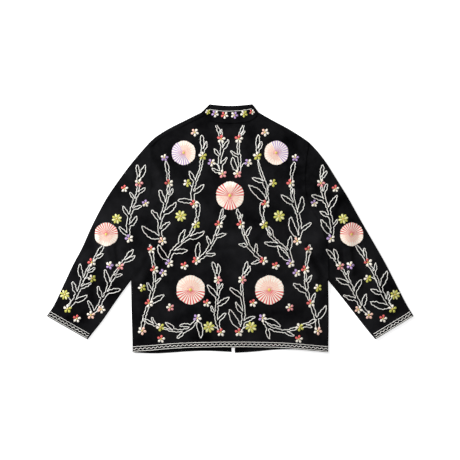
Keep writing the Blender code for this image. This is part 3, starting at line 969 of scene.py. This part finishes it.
def build_sleeve(side, cloth):
    """One sleeve: a flattened tube from the armhole to the cuff, open at both ends."""
    outwards = Vector((SIDES[side] * SEAM_GAP / 2, 0))
    seam = spread(side_line(ARMHOLE_SEAM, side), even(SLEEVE_COLUMNS))
    armhole = [p + outwards for p in seam]
    shares = [0.0, *SEAM_SHARES, *even(SLEEVE_ROWS)[1:-1], 1 - SEAM_SHARES[0], 1.0]
    fold = [armhole[0], *spread(side_line(SLEEVE_OUTER, side), shares)[1:]]
    under = [armhole[-1], *spread(side_line(SLEEVE_INNER, side), shares)[1:]]
    cuff = spread([fold[-1], under[-1]], even(SLEEVE_COLUMNS))
    rows = patch(armhole, cuff, fold, under)
    pairs = []
    for row, fold_way, under_way in zip(rows, tangents(fold), tangents(under)):
        upper, lower = sleeve_edges(row[0], row[1], fold_way)
        far_upper, far_lower = sleeve_edges(row[-1], row[-2], under_way)
        pairs += [*upper, *(top_pair(p) for p in row[1:-1]), *reversed(far_upper)]
        pairs += [*far_lower[1:], *(floor_pair(p) for p in row[-2:0:-1]), *reversed(lower[1:])]
    faces = grid_faces(len(rows), len(pairs) // len(rows), closed=True)
    return build_wall(f"sleeve_{side}_cloth", pairs, faces, cloth)


def sleeve_edges(edge, beside, tangent):
    """The two quarters of a sleeve's fold: over the top, and under it to the floor."""
    towards = (beside - edge).normalized()
    high = top_height(edge)
    over = [rolled(turn, high - FOLD_MIDDLE, FOLD_MIDDLE, high, CLOTH) for turn in quarter_turns()]
    below = [rolled(turn, FOLD_MIDDLE, FOLD_MIDDLE, 0.0, CLOTH) for turn in quarter_turns()]
    return edge_pairs(edge, towards, tangent, over), edge_pairs(edge, towards, tangent, below)


def collar_height(point):
    """Height of the collar's outer face behind the neck."""
    return top_height(point) + COLLAR_RISE


def collar_fold(side, base_line, front_base, back_top, front_top):
    """Columns of points round the collar's side fold, from its front half to its back."""
    corner = 0 if side == "left" else -1
    beside = corner - SIDES[side]
    base = base_line[corner]
    top = back_top[corner]
    tangent = (top - base).normalized()
    back_ways = (base_line[beside] - base, back_top[beside] - top)
    front_ways = (front_base[-2] - front_base[-1], front_top[-2] - front_top[-1])
    high = collar_height(base)
    middle = high / 2
    turns = quarter_turns()
    under = [(rolled(t, middle, middle, 0.0, COLLAR_CLOTH), front_ways) for t in turns[:0:-1]]
    over = [(rolled(t, middle, middle, high, COLLAR_CLOTH), back_ways) for t in turns]
    columns = []
    for profile, ways in (*under, *over):
        column = []
        for share, way in zip(even(COLLAR_ROWS), turning(*ways, COLLAR_ROWS)):
            column += edge_pairs(base.lerp(top, share), way, tangent, [profile])
        columns.append(column)
    return columns


def flat_columns(bases, tops, heights):
    """Columns between a base and a top line, with the wall's (outer, inner) height for a point."""
    columns = []
    for base, top in zip(bases, tops):
        points = [base.lerp(top, share) for share in even(COLLAR_ROWS)]
        columns.append([(raised(p, heights(p)[0]), raised(p, heights(p)[1])) for p in points])
    return columns


def collar_behind(point):
    """Outer and inner height of the collar behind the neck."""
    height = collar_height(point)
    return height, height - COLLAR_CLOTH


def build_collar(cloth):
    """The stand collar: one band from front edge to front edge round the neck, pressed flat."""
    base_line = moved_across(neck_points(), -SEAM_GAP)
    lift = Vector((0, SEAM_GAP))
    base_line[0] += lift
    base_line[-1] += lift
    back_top = spread(smooth(COLLAR_BACK_TOP), even(len(base_line) - 1))
    halves = []
    for side, mirror in SIDES.items():
        front_base = moved_across(front_neck_points(side), -mirror * SEAM_GAP)
        front_base[-1] = base_line[0 if side == "left" else -1]
        front_top = spread(smooth(COLLAR_FRONT_TOP[side]), even(FRONT_NECK_COLUMNS))
        under = flat_columns(front_base[:-1], front_top[:-1], lambda p: (0.0, COLLAR_CLOTH))
        halves.append([*under, *collar_fold(side, base_line, front_base, back_top, front_top)])
    behind = flat_columns(base_line[1:-1], back_top[1:-1], collar_behind)
    columns = [*halves[0], *behind, *reversed(halves[1])]
    pairs = [pair for column in columns for pair in column]
    return build_wall("collar_cloth", pairs, grid_faces(len(columns), COLLAR_ROWS + 1), cloth)


class Stitches:
    """A mesh of stitched work, gathered from many small closed solids of coloured thread."""

    def __init__(self, name, ground):
        self.name = name
        self.ground = ground
        self.points = []
        self.along = []
        self.faces = []
        self.threads = []

    def add(self, points, along, faces, threads):
        start = len(self.points)
        self.points += points
        self.along += along
        self.faces += [tuple(start + corner for corner in face) for face in faces]
        self.threads += threads

    def build(self, materials):
        """The gathered solids as one object, with the thread's run and breadth as its UV map."""
        used = sorted(set(self.threads))
        mesh = bpy.data.meshes.new(self.name)
        mesh.from_pydata(self.points, [], self.faces)
        for thread in used:
            mesh.materials.append(materials[thread])
        places = {thread: place for place, thread in enumerate(used)}
        mesh.polygons.foreach_set("material_index", [places[thread] for thread in self.threads])
        layer = mesh.uv_layers.new(name="thread")
        corners = [0] * len(mesh.loops)
        mesh.loops.foreach_get("vertex_index", corners)
        layer.data.foreach_set("uv", [value for corner in corners for value in self.along[corner]])
        mesh.shade_smooth()
        mesh.set_sharp_from_angle(angle=SHARP_THREAD)
        return placed(self.name, mesh)


def prepare_edges():
    """The edges that the sprays stay inside by a margin, and the outline that they lie in."""
    edges = {"neck": [smooth(BACK_NECK)], "shoulder": [], "fold": []}
    halves = []
    for side in SIDES:
        outer = side_line(SLEEVE_OUTER, side)
        inner = side_line(SLEEVE_INNER, side)
        shoulder = side_line(SHOULDER_FOLD, side)
        seam = side_line(SIDE_SEAM, side)
        edges["shoulder"].append(shoulder)
        edges["fold"] += [outer, inner, seam]
        halves.append([*shoulder, *outer, *reversed(inner), *seam])
    SURFACE["edges"] = {kind: line_tree([dense(line) for line in lines]) for kind, lines in edges.items()}
    SURFACE["edges"]["hem"] = SURFACE["hems"]
    SURFACE["outline"] = [*halves[0], *reversed(halves[1])]


def prepare_embroidery(blossoms):
    """The rounds that cords stop at, the tendrils, and the places that are taken before leaves."""
    rounds = [(centre, radius * ROUND_COVER) for _, centre, radius, *_ in blossoms]
    rounds += [(plan(x, y), radius * MM) for _, x, y, radius, *_ in ROSETTES]
    SURFACE["rounds"] = rounds
    SURFACE["round_tree"] = line_tree([[centre for centre, _ in rounds]])
    SURFACE["taken"] = {}
    for centre, radius in rounds:
        take_place(circle(centre, radius))
    for row in FRONDS:
        for mirror in SIDES.values():
            take_place(spray_stem(row, mirror))
    SURFACE["tendrils"] = []
    for row in BLOSSOMS:
        for side, mirror in SIDES.items():
            path = tendril(row, mirror)
            if path:
                take_place(path)
                SURFACE["tendrils"].append((f"sprays_{row[0]}_{side}", path))


def inside_outline(point):
    """Whether a plan point is inside the jacket's outline: a line out of it crosses once."""
    inside = False
    outline = SURFACE["outline"]
    for start, end in zip(outline, [*outline[1:], outline[0]]):
        if (start.y > point.y) != (end.y > point.y):
            share = (point.y - start.y) / (end.y - start.y)
            if point.x < start.x + share * (end.x - start.x):
                inside = not inside
    return inside


def inside_edges(point):
    """Whether a plan point lies inside every edge by that edge's margin."""
    for kind, margin in EDGE_MARGINS.items():
        if distance_to(SURFACE["edges"][kind], point) < margin:
            return False
    return inside_outline(point)


def in_a_round(point):
    """Whether a blossom or a rosette covers a plan point."""
    for _, number, distance in SURFACE["round_tree"].find_range(raised(point, 0), LARGEST_ROUND):
        if distance < SURFACE["rounds"][number][1]:
            return True
    return False


def kept_runs(path):
    """The stretches of a cord's path inside the edges and clear of blossoms and rosettes."""
    runs = [[]]
    for point in path:
        if inside_edges(point) and not in_a_round(point):
            runs[-1].append(point)
        elif runs[-1]:
            runs.append([])
    return [run for run in runs if len(run) >= SHORTEST_CORD]


def wavered(line, waver):
    """The line with a point every stitch, drifting a little as a hand lays it."""
    points = spread(line, even(max(LEAST_CORD_STEPS, round(line_length(line) / CORD_STEP))))
    drifted = []
    for point, way in zip(points, tangents(points)):
        drift = waver * noise.noise(raised(point, WAVER_LEVEL / WAVERS_PER_METRE) * WAVERS_PER_METRE)
        drifted.append(point + drift * right_of(way))
    return drifted


def add_cord(work, path, width):
    """A half-round cord laid on the cloth along its path, beaded a little by its stitches."""
    columns = len(CORD_SECTION)
    points = []
    along = []
    for number, (point, way) in enumerate(zip(path, tangents(path))):
        swell = 1 + (CORD_TWIST if number % 2 else -CORD_TWIST)
        ground = work.ground(point) - CORD_SUNK
        for across, up in CORD_SECTION:
            place = point + right_of(way) * (across * width * swell)
            points.append(raised(place, ground + up * (CORD_HEIGHT * swell + CORD_SUNK)))
            along.append((number * CORD_STEP, across * width))
    faces = [tuple(reversed(face)) for face in grid_faces(len(path), columns, closed=True)]
    faces.append(tuple(range(columns)))
    last = (len(path) - 1) * columns
    faces.append(tuple(last + corner for corner in reversed(range(columns))))
    work.add(points, along, faces, ["cord"] * len(faces))


def add_runs(work, path):
    """A wavering cord along each stretch of a path that is kept."""
    for run in kept_runs(wavered(path, WAVER)):
        add_cord(work, run, CORD_WIDTH)


def grid_rim(rows, columns):
    """The corners round a grid, as one face that closes it from below."""
    between = range(1, rows - 1)
    rim = list(range(columns))
    rim += [row * columns + columns - 1 for row in between]
    rim += [(rows - 1) * columns + column for column in reversed(range(columns))]
    rim += [row * columns for row in reversed(between)]
    return tuple(rim)


def add_petal(work, base, way, length, width, thread):
    """A raised petal of satin stitches that run along it."""
    columns = len(PETAL_ACROSS)
    points = []
    along = []
    for step, share in enumerate(even(PETAL_STEPS)):
        swell = math.sin(math.pi * share**PETAL_WIDE_OUT) ** PETAL_FULL
        half = 0.5 * width * max(swell, PETAL_LEAST)
        inside = 0 < step < PETAL_STEPS
        rise = PETAL_RISE * math.sin(math.pi * share) ** PETAL_ROUND if inside else 0.0
        for column, across in enumerate(PETAL_ACROSS):
            place = base + way * (share * length) + right_of(way) * (across * half)
            lift = rise * (1 - across * across) ** 0.5
            if lift > 0 and column % 2:
                lift -= PETAL_RIDGE
            points.append(raised(place, work.ground(place) + (lift if lift > 0 else -STITCH_SUNK)))
            along.append((share * length, across * half))
    faces = [tuple(reversed(face)) for face in grid_faces(PETAL_STEPS + 1, columns)]
    faces.append(grid_rim(PETAL_STEPS + 1, columns))
    work.add(points, along, faces, [thread] * len(faces))


def add_knot(work, centre, radius, rise, thread):
    """A small round knot."""
    points = []
    along = []
    for reach, up in KNOT_PROFILE:
        for place in circle(centre, reach * radius, KNOT_SIDES):
            points.append(raised(place, work.ground(place) + (up * rise if up else -STITCH_SUNK)))
            along.append((place.x, place.y))
    points.append(raised(centre, work.ground(centre) + rise))
    along.append((centre.x, centre.y))
    faces = [tuple(reversed(range(KNOT_SIDES)))]
    faces += grid_faces(len(KNOT_PROFILE), KNOT_SIDES, closed=True)
    top = len(KNOT_PROFILE) * KNOT_SIDES
    for corner in range(KNOT_SIDES):
        faces.append((top - KNOT_SIDES + corner, top - KNOT_SIDES + (corner + 1) % KNOT_SIDES, top))
    work.add(points, along, faces, [thread] * len(faces))


def add_blossom(work, centre, radius, petals, main, second, turn):
    """Satin petals round a knot, some of them in the second colour."""
    width = radius * PETAL_WIDTHS[petals]
    for petal in range(petals):
        way = turned(EAST, turn + 2 * math.pi * petal / petals)
        base = centre + way * radius * PETAL_START
        thread = second if petal in SECOND_PETALS[petals] else main
        add_petal(work, base, way, radius * PETAL_LENGTH, width, thread)
    add_knot(work, centre, radius * BLOSSOM_KNOT, KNOT_RISE, "yellow")


def bezier(corners, count):
    """A smooth stem from its two ends and two handles."""
    start, bend, turn, end = corners
    line = []
    for share in even(count):
        rest = 1 - share
        first = start * rest**3 + bend * (3 * rest * rest * share)
        line.append(first + turn * (3 * rest * share * share) + end * share**3)
    return line


def lobe(base, way, length, side, curl):
    """Plan points out along a leaf's near edge to its tip, and back along its far edge."""
    near = []
    far = []
    for share in even(LOBE_POINTS):
        swell = length * LEAF_WIDTH_SHARE * math.sin(math.pi * share**LEAF_WIDE_IN) ** LEAF_FULL
        half = 0.5 * max(LEAF_NECK * (1 - share) ** 2, swell)
        middle = base + turned(way, curl * share * LEAF_BEND) * (share * length)
        across = right_of(turned(way, curl * share)) * side
        near.append(middle + across * half)
        far.append(middle - across * half)
    return near + far[-2::-1]


def fitted_lobe(base, way, length, side, curl):
    """A leaf made shorter until it is clear of the edges and of all that was laid before."""
    for shrink in LEAF_SHRINKS:
        leaf = lobe(base, way, length * shrink, side, curl)
        outer = [point for point in leaf if (point - base).length > LEAF_NECK * LEAF_FREE_FROM]
        if all(distance_left(point) > LEAF_CLEAR and inside_edges(point) for point in outer):
            take_place(leaf)
            return leaf
    return []


def cell_of(point):
    """The cell of the plan that a point lies in."""
    return math.floor(point.x / TAKEN_CELL), math.floor(point.y / TAKEN_CELL)


def take_place(points):
    """Marks plan points as laid, so that later leaves keep clear of them."""
    for point in points:
        SURFACE["taken"].setdefault(cell_of(point), []).append(point)


def distance_left(point):
    """Distance from a plan point to what is laid nearby, or a cell's width where nothing is."""
    column, row = cell_of(point)
    found = TAKEN_CELL
    for beside in (-1, 0, 1):
        for above in (-1, 0, 1):
            for other in SURFACE["taken"].get((column + beside, row + above), ()):
                found = min(found, (point - other).length)
    return found


def circle(centre, radius, count=ROUND_POINTS):
    """Plan points round a centre."""
    out = Vector((radius, 0.0))
    return [centre + turned(out, 2 * math.pi * step / count) for step in range(count)]


def frond_side(stem, ways, side, leaf, chance):
    """One side of a frond's outline, from its foot to its tip, with its leaves."""
    pairs = max(FROND_LEAST_PAIRS, round(line_length(stem) / FROND_SPACING))
    last = len(stem) - 1
    gap = (FROND_LAST - FROND_FIRST) / (pairs - 1)
    line = [stem[0] + right_of(ways[0]) * side * FROND_STEM]
    for pair in range(pairs):
        share = min(FROND_FIRST + gap * (pair + (FROND_STAGGER if side > 0 else 0.0)), FROND_MOST)
        half = FROND_STEM + (FROND_STEM_TIP - FROND_STEM) * share
        for back in FROND_BARE_SHARES:
            before = max(0, round((share - gap * back) * last))
            line.append(stem[before] + right_of(ways[before]) * side * half)
        place = round(share * last)
        stray = chance.uniform(-LEAF_ANGLE_STRAY, LEAF_ANGLE_STRAY)
        angle = math.radians(LEAF_ANGLE - LEAF_ANGLE_LESS * share + stray)
        size = leaf * LEAF_SHARES[(pair + (side > 0)) % len(LEAF_SHARES)]
        size *= (LEAF_SIZE - LEAF_SIZE_LESS * share) * chance.uniform(*LEAF_STRAYS)
        curl = side * math.radians(chance.uniform(*LEAF_CURLS))
        edge = stem[place] + right_of(ways[place]) * side * half
        line += fitted_lobe(edge, turned(ways[place], -side * angle), size, side, curl)
    return line


def frond_outline(stem, leaf, chance):
    """The whole outline of a frond, from its foot up one side, round its tip and down the other."""
    ways = tangents(stem)
    right = frond_side(stem, ways, 1, leaf, chance)
    left = frond_side(stem, ways, -1, leaf, chance)
    tip = lobe(stem[-1], ways[-1], leaf * FROND_TIP, 1, 0.0)
    foot = stem[0] - ways[0] * FROND_STEM
    return [foot, *right, *tip, *reversed(left), foot]


def spray_stem(row, mirror):
    """A frond's stem on one half of the jacket."""
    places = zip(row[1:-1:2], row[2:-1:2])
    return bezier([plan(x * mirror, y) for x, y in places], STEM_STEPS)


def tendril(blossom, mirror):
    """A single cord from the nearest stem of the panel to a lone blossom, where the way is clear."""
    panel, x, y, radius, *_ = blossom
    centre = plan(x * mirror, y)
    stems = [spray_stem(row, mirror) for row in FRONDS if row[0] == panel]
    reach, stem, place = min(
        ((point - centre).length, number, place)
        for number, line in enumerate(stems)
        for place, point in enumerate(line)
    )
    if not TENDRIL_LEAST < reach < TENDRIL_MOST:
        return []
    line = stems[stem]
    back = max(0, place - round(TENDRIL_BACK * reach / line_length(line) * len(line)))
    way = tangents(line)[back]
    side = math.copysign(1.0, (centre - line[back]).dot(right_of(way)))
    start = line[back] + right_of(way) * side * FROND_STEM_TIP
    turn = centre - (centre - line[place]).normalized() * (TENDRIL_BEND * reach)
    path = bezier((start, start + way * (TENDRIL_BEND * reach), turn, centre), TENDRIL_STEPS)
    for point in path:
        at_foot = (point - start).length < TENDRIL_FOOT
        at_blossom = (point - centre).length < radius * MM * TENDRIL_END
        if not at_foot and not at_blossom and distance_left(point) < TENDRIL_CLEAR:
            return []
    return path


def spray_blossoms(row, mirror, chance):
    """Blossoms at a frond's foot and along its stem."""
    stem = spray_stem(row, mirror)
    count = max(BLOOM_LEAST, round(line_length(stem) / BLOOM_EVERY))
    found = []
    for bloom in range(count):
        place = round((BLOOM_FIRST + BLOOM_RUN * bloom / (count - 1)) * (len(stem) - 1))
        main, second = BLOOM_COLOURS[chance.randrange(len(BLOOM_COLOURS))]
        turn = chance.uniform(0, BLOSSOM_TURN)
        found.append((row[0], stem[place], BLOOM_RADIUS, BLOOM_PETALS, main, second, turn))
    return found


def all_blossoms():
    """Every blossom of the back and the sleeves, with the panel and the side that it is on."""
    found = []
    chance = random.Random(BLOSSOM_SEED)
    for row in FRONDS:
        seed = chance.random()
        for side, mirror in SIDES.items():
            for panel, *rest in spray_blossoms(row, mirror, random.Random(seed)):
                found.append((f"{panel}_{side}", *rest))
    for panel, x, y, radius, *look in BLOSSOMS:
        turn = chance.uniform(0, BLOSSOM_TURN)
        for side, mirror in SIDES.items():
            found.append((f"{panel}_{side}", plan(x * mirror, y), radius * MM, *look, turn))
    return found


def rosette_thread(share, number, stray, striped, accent):
    """The thread of a rosette's stitch at a share of the radius, in long and short stitches."""
    column = number % 2 + (0 if number // PETAL_STITCHES in striped else 2)
    found = ROSETTE_SHADES[0][2]
    for from_share, strays, *threads in ROSETTE_SHADES:
        if share >= from_share + strays * stray:
            found = threads[column]
    return accent if found == "accent" else found


def rosette_lengths(chance):
    """The share of the radius that each stitch reaches: less between petals, and uneven."""
    lengths = []
    for number in range(ROSETTE_PETALS * PETAL_STITCHES):
        round_petal = math.sin(math.pi * (number % PETAL_STITCHES + 0.5) / PETAL_STITCHES)
        lengths.append(1 - ROSETTE_NOTCH * (1 - round_petal) - chance.uniform(0, ROSETTE_UNEVEN))
    return lengths


def rosette_threads(strays, striped, accent):
    """The threads of a rosette's faces outside its middle, ring by ring."""
    threads = []
    for ring in range(ROSETTE_RINGS):
        share = (ring + 1.5) / ROSETTE_RINGS
        for number, stray in enumerate(strays):
            threads += [rosette_thread(share, number, stray, striped, accent)] * ROSETTE_STEPS
    return threads


def rosette_rings(work, centre, radius, lengths):
    """The points of a rosette's rings and of its rim on the cloth, and the thread's UV at each."""
    segments = len(lengths) * ROSETTE_STEPS
    points = []
    along = []
    for share in even(ROSETTE_RINGS)[1:]:
        thick = ROSETTE_MIDDLE_THICK + (ROSETTE_RIM_THICK - ROSETTE_MIDDLE_THICK) * share**2
        for segment in range(segments):
            number, step = divmod(segment, ROSETTE_STEPS)
            angle = 2 * math.pi * segment / segments
            reach = radius * share * (1 - (1 - lengths[number]) * share**ROSETTE_RIM_POWER)
            place = centre + turned(EAST, angle) * reach
            groove = ROSETTE_GROOVE * min(1.0, share * 2) if step == 0 else 0.0
            points.append(raised(place, work.ground(place) + ROSETTE_LIFT + thick - groove))
            along.append((reach, angle * radius * ROSETTE_STRANDS))
    for edge in points[-segments:]:
        points.append(raised(edge, work.ground(edge.xy) - STITCH_SUNK))
        along.append((radius, 0.0))
    return points, along


def add_rosette(work, x, y, radius, striped, accent, chance):
    """A round of long and short satin stitches, ridged along each stitch, with a knot inside."""
    centre = plan(x, y)
    lengths = rosette_lengths(chance)
    strays = [chance.uniform(-1, 1) for _ in lengths]
    points, along = rosette_rings(work, centre, radius * MM, lengths)
    segments = len(lengths) * ROSETTE_STEPS
    rim = ROSETTE_RINGS * segments
    middle = len(points)
    points.append(raised(centre, work.ground(centre) + ROSETTE_LIFT + ROSETTE_MIDDLE_THICK))
    points.append(raised(centre, work.ground(centre) - STITCH_SUNK))
    along += [(0.0, 0.0), (0.0, 0.0)]
    faces = [tuple(reversed(face)) for face in grid_faces(ROSETTE_RINGS + 1, segments, closed=True)]
    threads = rosette_threads(strays, striped, accent)
    for segment in range(segments):
        beside = (segment + 1) % segments
        faces += [(middle, segment, beside), (rim + segment, middle + 1, rim + beside)]
        threads += [accent, "peach"]
    work.add(points, along, faces, threads)
    add_knot(work, centre, radius * MM * ROSETTE_KNOT, ROSETTE_KNOT_RISE, "yellow")


def add_border(work, edge, inwards):
    """Two straight cords and a waved one between them along a hem; inwards is +1 or -1."""
    edge = dense(edge)
    for distance in BORDER_LINES:
        add_cord(work, wavered(moved_across(edge, distance * inwards), BORDER_WAVER), BORDER_WIDTH)
    middle = moved_across(edge, BORDER_WAVE_MIDDLE * inwards)
    wave = []
    run = 0.0
    for number, (point, way) in enumerate(zip(middle, tangents(middle))):
        if number:
            run += (point - middle[number - 1]).length
        swing = BORDER_WAVE_HEIGHT * math.sin(2 * math.pi * run / BORDER_WAVE_LENGTH)
        wave.append(point + swing * right_of(way))
    add_cord(work, wavered(wave, 0.0), BORDER_WIDTH)


def trimmed(line, margin):
    """The line without a margin at each end."""
    share = margin / line_length(line)
    return spread(line, [share + (1 - 2 * share) * step for step in even(BORDER_STEPS)])


def linear(colour):
    """A screen colour from 0 to 255 as linear red, green, blue and alpha, by the sRGB curve."""
    values = []
    for value in colour:
        share = value / 255
        values.append(share / 12.92 if share <= 0.04045 else ((share + 0.055) / 1.055) ** 2.4)
    return (*values, 1.0)


def set_inputs(node, values):
    """Constant values on a node's sockets, by the sockets' names."""
    for socket, value in values.items():
        node.inputs[socket].default_value = value


def add_node(tree, kind, values, sources):
    """A node with constant values on some sockets and other nodes' outputs on others."""
    node = tree.nodes.new(kind)
    set_inputs(node, values)
    for socket, source in sources.items():
        tree.links.new(source, node.inputs[socket])
    return node


def new_material(name, values):
    """A node material, the inputs of its shader, and its node tree."""
    material = bpy.data.materials.new(name)
    material.use_nodes = True
    shader = material.node_tree.nodes["Principled BSDF"]
    set_inputs(shader, values)
    return material, shader.inputs, material.node_tree


def add_noise(tree, place, values):
    """A noise texture read at a coordinate output."""
    return add_node(tree, "ShaderNodeTexNoise", values, {"Vector": place}).outputs["Fac"]


def add_wave(tree, place, axis, values):
    """A striped texture across one axis of a coordinate output."""
    texture = add_node(tree, "ShaderNodeTexWave", values, {"Vector": place})
    texture.bands_direction = axis
    return texture.outputs["Fac"]


def add_ramp(tree, value, stops):
    """A colour ramp with (position, screen colour) stops."""
    ramp = add_node(tree, "ShaderNodeValToRGB", {}, {"Fac": value})
    for element, (position, colour) in zip(ramp.color_ramp.elements, stops):
        element.position = position
        element.color = linear(colour)
    return ramp.outputs["Color"]


def add_bump(tree, sources, values):
    """A bump node over a height and, where there is one, another bump's normal."""
    return add_node(tree, "ShaderNodeBump", values, sources).outputs["Normal"]


def cloth_material():
    """Near-black woven cloth with a slight nap: warp and weft threads, slubs and soft fading."""
    material, shader, tree = new_material("black_cloth", CLOTH_SHADER)
    place = tree.nodes.new("ShaderNodeTexCoord").outputs["Object"]
    faded = add_ramp(tree, add_noise(tree, place, CLOTH_CLOUDS), CLOTH_FADING)
    tree.links.new(faded, shader["Base Color"])
    warp = add_wave(tree, place, "X", WEAVE)
    weft = add_wave(tree, place, "Y", WEAVE)
    crossed = tree.nodes.new("ShaderNodeMath")
    crossed.operation = "MAXIMUM"
    tree.links.new(warp, crossed.inputs[0])
    tree.links.new(weft, crossed.inputs[1])
    weave = add_bump(tree, {"Height": crossed.outputs["Value"]}, WEAVE_BUMP)
    slubs = add_noise(tree, place, SLUBS)
    tree.links.new(add_bump(tree, {"Height": slubs, "Normal": weave}, SLUB_BUMP), shader["Normal"])
    return material


def thread_material(name, colour):
    """Embroidery thread: fine twisted strands along the stitch, with a soft gloss, and painted shade that
    darkens the colour in the grooves between strands.
    """
    material, shader, tree = new_material(f"thread_{name}", THREAD_SHADER)
    uv_map = tree.nodes.new("ShaderNodeUVMap")
    uv_map.uv_map = "thread"
    strands = add_wave(tree, uv_map.outputs["UV"], "Y", STRANDS)
    # Painted shade: the colour is darkened where the strand wave is low, in the bump's grooves
    shaded = tuple(value * THREAD_SHADE for value in colour)
    painted_groove_shade = add_ramp(tree, strands, ((0.0, shaded), (THREAD_LIT_FROM, colour)))
    tree.links.new(painted_groove_shade, shader["Base Color"])
    tree.links.new(add_bump(tree, {"Height": strands}, STRAND_BUMP), shader["Normal"])
    return material


def floor_material():
    """A plain, nearly white studio floor."""
    material, shader, tree = new_material("floor_white", FLOOR_SHADER)
    place = tree.nodes.new("ShaderNodeTexCoord").outputs["Object"]
    grain = add_ramp(tree, add_noise(tree, place, FLOOR_GRAIN), FLOOR_TONES)
    tree.links.new(grain, shader["Base Color"])
    return material


def make_floor():
    half = FLOOR_SIZE / 2
    corners = ((-half, -half), (half, -half), (half, half), (-half, half))
    mesh = bpy.data.meshes.new("floor")
    mesh.from_pydata([(x, y, FLOOR_HEIGHT) for x, y in corners], [], [(0, 1, 2, 3)])
    mesh.materials.append(floor_material())
    floor = placed("floor", mesh)


def make_lights():
    """Even white surroundings, a low soft light from the upper left and a weak one above."""
    world = bpy.data.worlds.new("studio")
    world.use_nodes = True
    set_inputs(world.node_tree.nodes["Background"], {"Color": WHITE, "Strength": WORLD_STRENGTH})
    bpy.context.scene.world = world
    for name, x, y, z, size, power in LIGHTS:
        light = bpy.data.lights.new(name, "AREA")
        light.size = size
        light.energy = power
        lamp = placed(name, light)
        lamp.location = (x, y, z)
        lamp.rotation_euler = Vector((-x, -y, -z)).to_track_quat("-Z", "Y").to_euler()


def make_camera():
    """A camera straight above, with the photo's frame on the floor plan."""
    data = bpy.data.cameras.new("camera")
    data.lens = CAMERA_LENS
    data.sensor_width = CAMERA_SENSOR
    camera = placed("camera", data)
    camera.location = (*plan(0.0, PHOTO_MIDDLE_Y), FRAME_WIDTH * CAMERA_LENS / CAMERA_SENSOR)
    bpy.context.scene.camera = camera
    bpy.context.scene.view_settings.view_transform = "Standard"


def build_cloth():
    """Every cloth piece, by the name of the node that it stands for."""
    cloth = cloth_material()
    shells = {"back": build_back(cloth), "collar": build_collar(cloth)}
    for side in SIDES:
        shells[f"front_{side}"] = build_front(side, cloth)
        shells[f"sleeve_{side}"] = build_sleeve(side, cloth)
    return shells


def stitch_sprays(materials):
    """The corded fronds and tendrils, one piece for each panel and side."""
    works = {}
    chance = random.Random(FROND_SEED)
    for row in FRONDS:
        seed = chance.random()
        for side, mirror in SIDES.items():
            name = f"sprays_{row[0]}_{side}"
            work = works.setdefault(name, Stitches(name, top_height))
            stem = spray_stem(row, mirror)
            add_runs(work, frond_outline(stem, row[-1] * MM, random.Random(seed)))
    for name, path in SURFACE["tendrils"]:
        add_runs(works[name], path)
    return [work.build(materials) for work in works.values()]


def stitch_blossoms(materials, blossoms):
    """The satin blossoms, one piece for each panel and side."""
    works = {}
    for panel, *blossom in blossoms:
        name = f"blossoms_{panel}"
        work = works.setdefault(name, Stitches(name, top_height))
        add_blossom(work, *blossom)
    return [work.build(materials) for work in works.values()]


def stitch_borders(materials):
    """The corded borders of the back hem and both cuffs."""
    hem = Stitches("border_hem", top_height)
    add_border(hem, trimmed(smooth(BACK_HEM), BORDER_SIDE_MARGIN), -1)
    pieces = [hem.build(materials)]
    for side, mirror in SIDES.items():
        border = Stitches(f"border_cuff_{side}", top_height)
        add_border(border, trimmed(cuff_line(side), BORDER_SIDE_MARGIN), mirror)
        pieces.append(border.build(materials))
    return pieces


def stitch_collar(materials):
    """The cord and the blossoms of the collar."""
    work = Stitches("collar_work", collar_height)
    add_cord(work, wavered(smooth(COLLAR_LINE), BORDER_WAVER), BORDER_WIDTH)
    chance = random.Random(BLOSSOM_SEED)
    for x, y, radius, *look in COLLAR_BLOSSOMS:
        add_blossom(work, plan(x, y), radius * MM, *look, chance.uniform(0, BLOSSOM_TURN))
    return work.build(materials)


def stitch_rosettes(materials):
    """The rosettes, by the name of the node that each stands for."""
    pieces = {}
    chance = random.Random(ROSETTE_SEED)
    for name, *rosette in ROSETTES:
        work = Stitches(f"{name}_work", top_height)
        add_rosette(work, *rosette, chance)
        pieces[name] = work.build(materials)
    return pieces


def stitch_all():
    """Every stitched piece but the rosettes, and the rosettes by node."""
    materials = {name: thread_material(name, colour) for name, colour in THREADS.items()}
    blossoms = all_blossoms()
    prepare_edges()
    prepare_embroidery(blossoms)
    pieces = stitch_sprays(materials)
    pieces += stitch_blossoms(materials, blossoms)
    pieces += stitch_borders(materials)
    pieces.append(stitch_collar(materials))
    return pieces, stitch_rosettes(materials)


def main():
    make_floor()
    make_lights()
    make_camera()
    prepare_surface()
    shells = build_cloth()
    for node, piece in shells.items():
        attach(piece, "root")
        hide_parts(node)
    stitched, rosettes = stitch_all()
    for node, piece in rosettes.items():
        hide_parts(node)
        stitched.append(piece)
    for piece in stitched:
        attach(piece, "root")
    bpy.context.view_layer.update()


main()
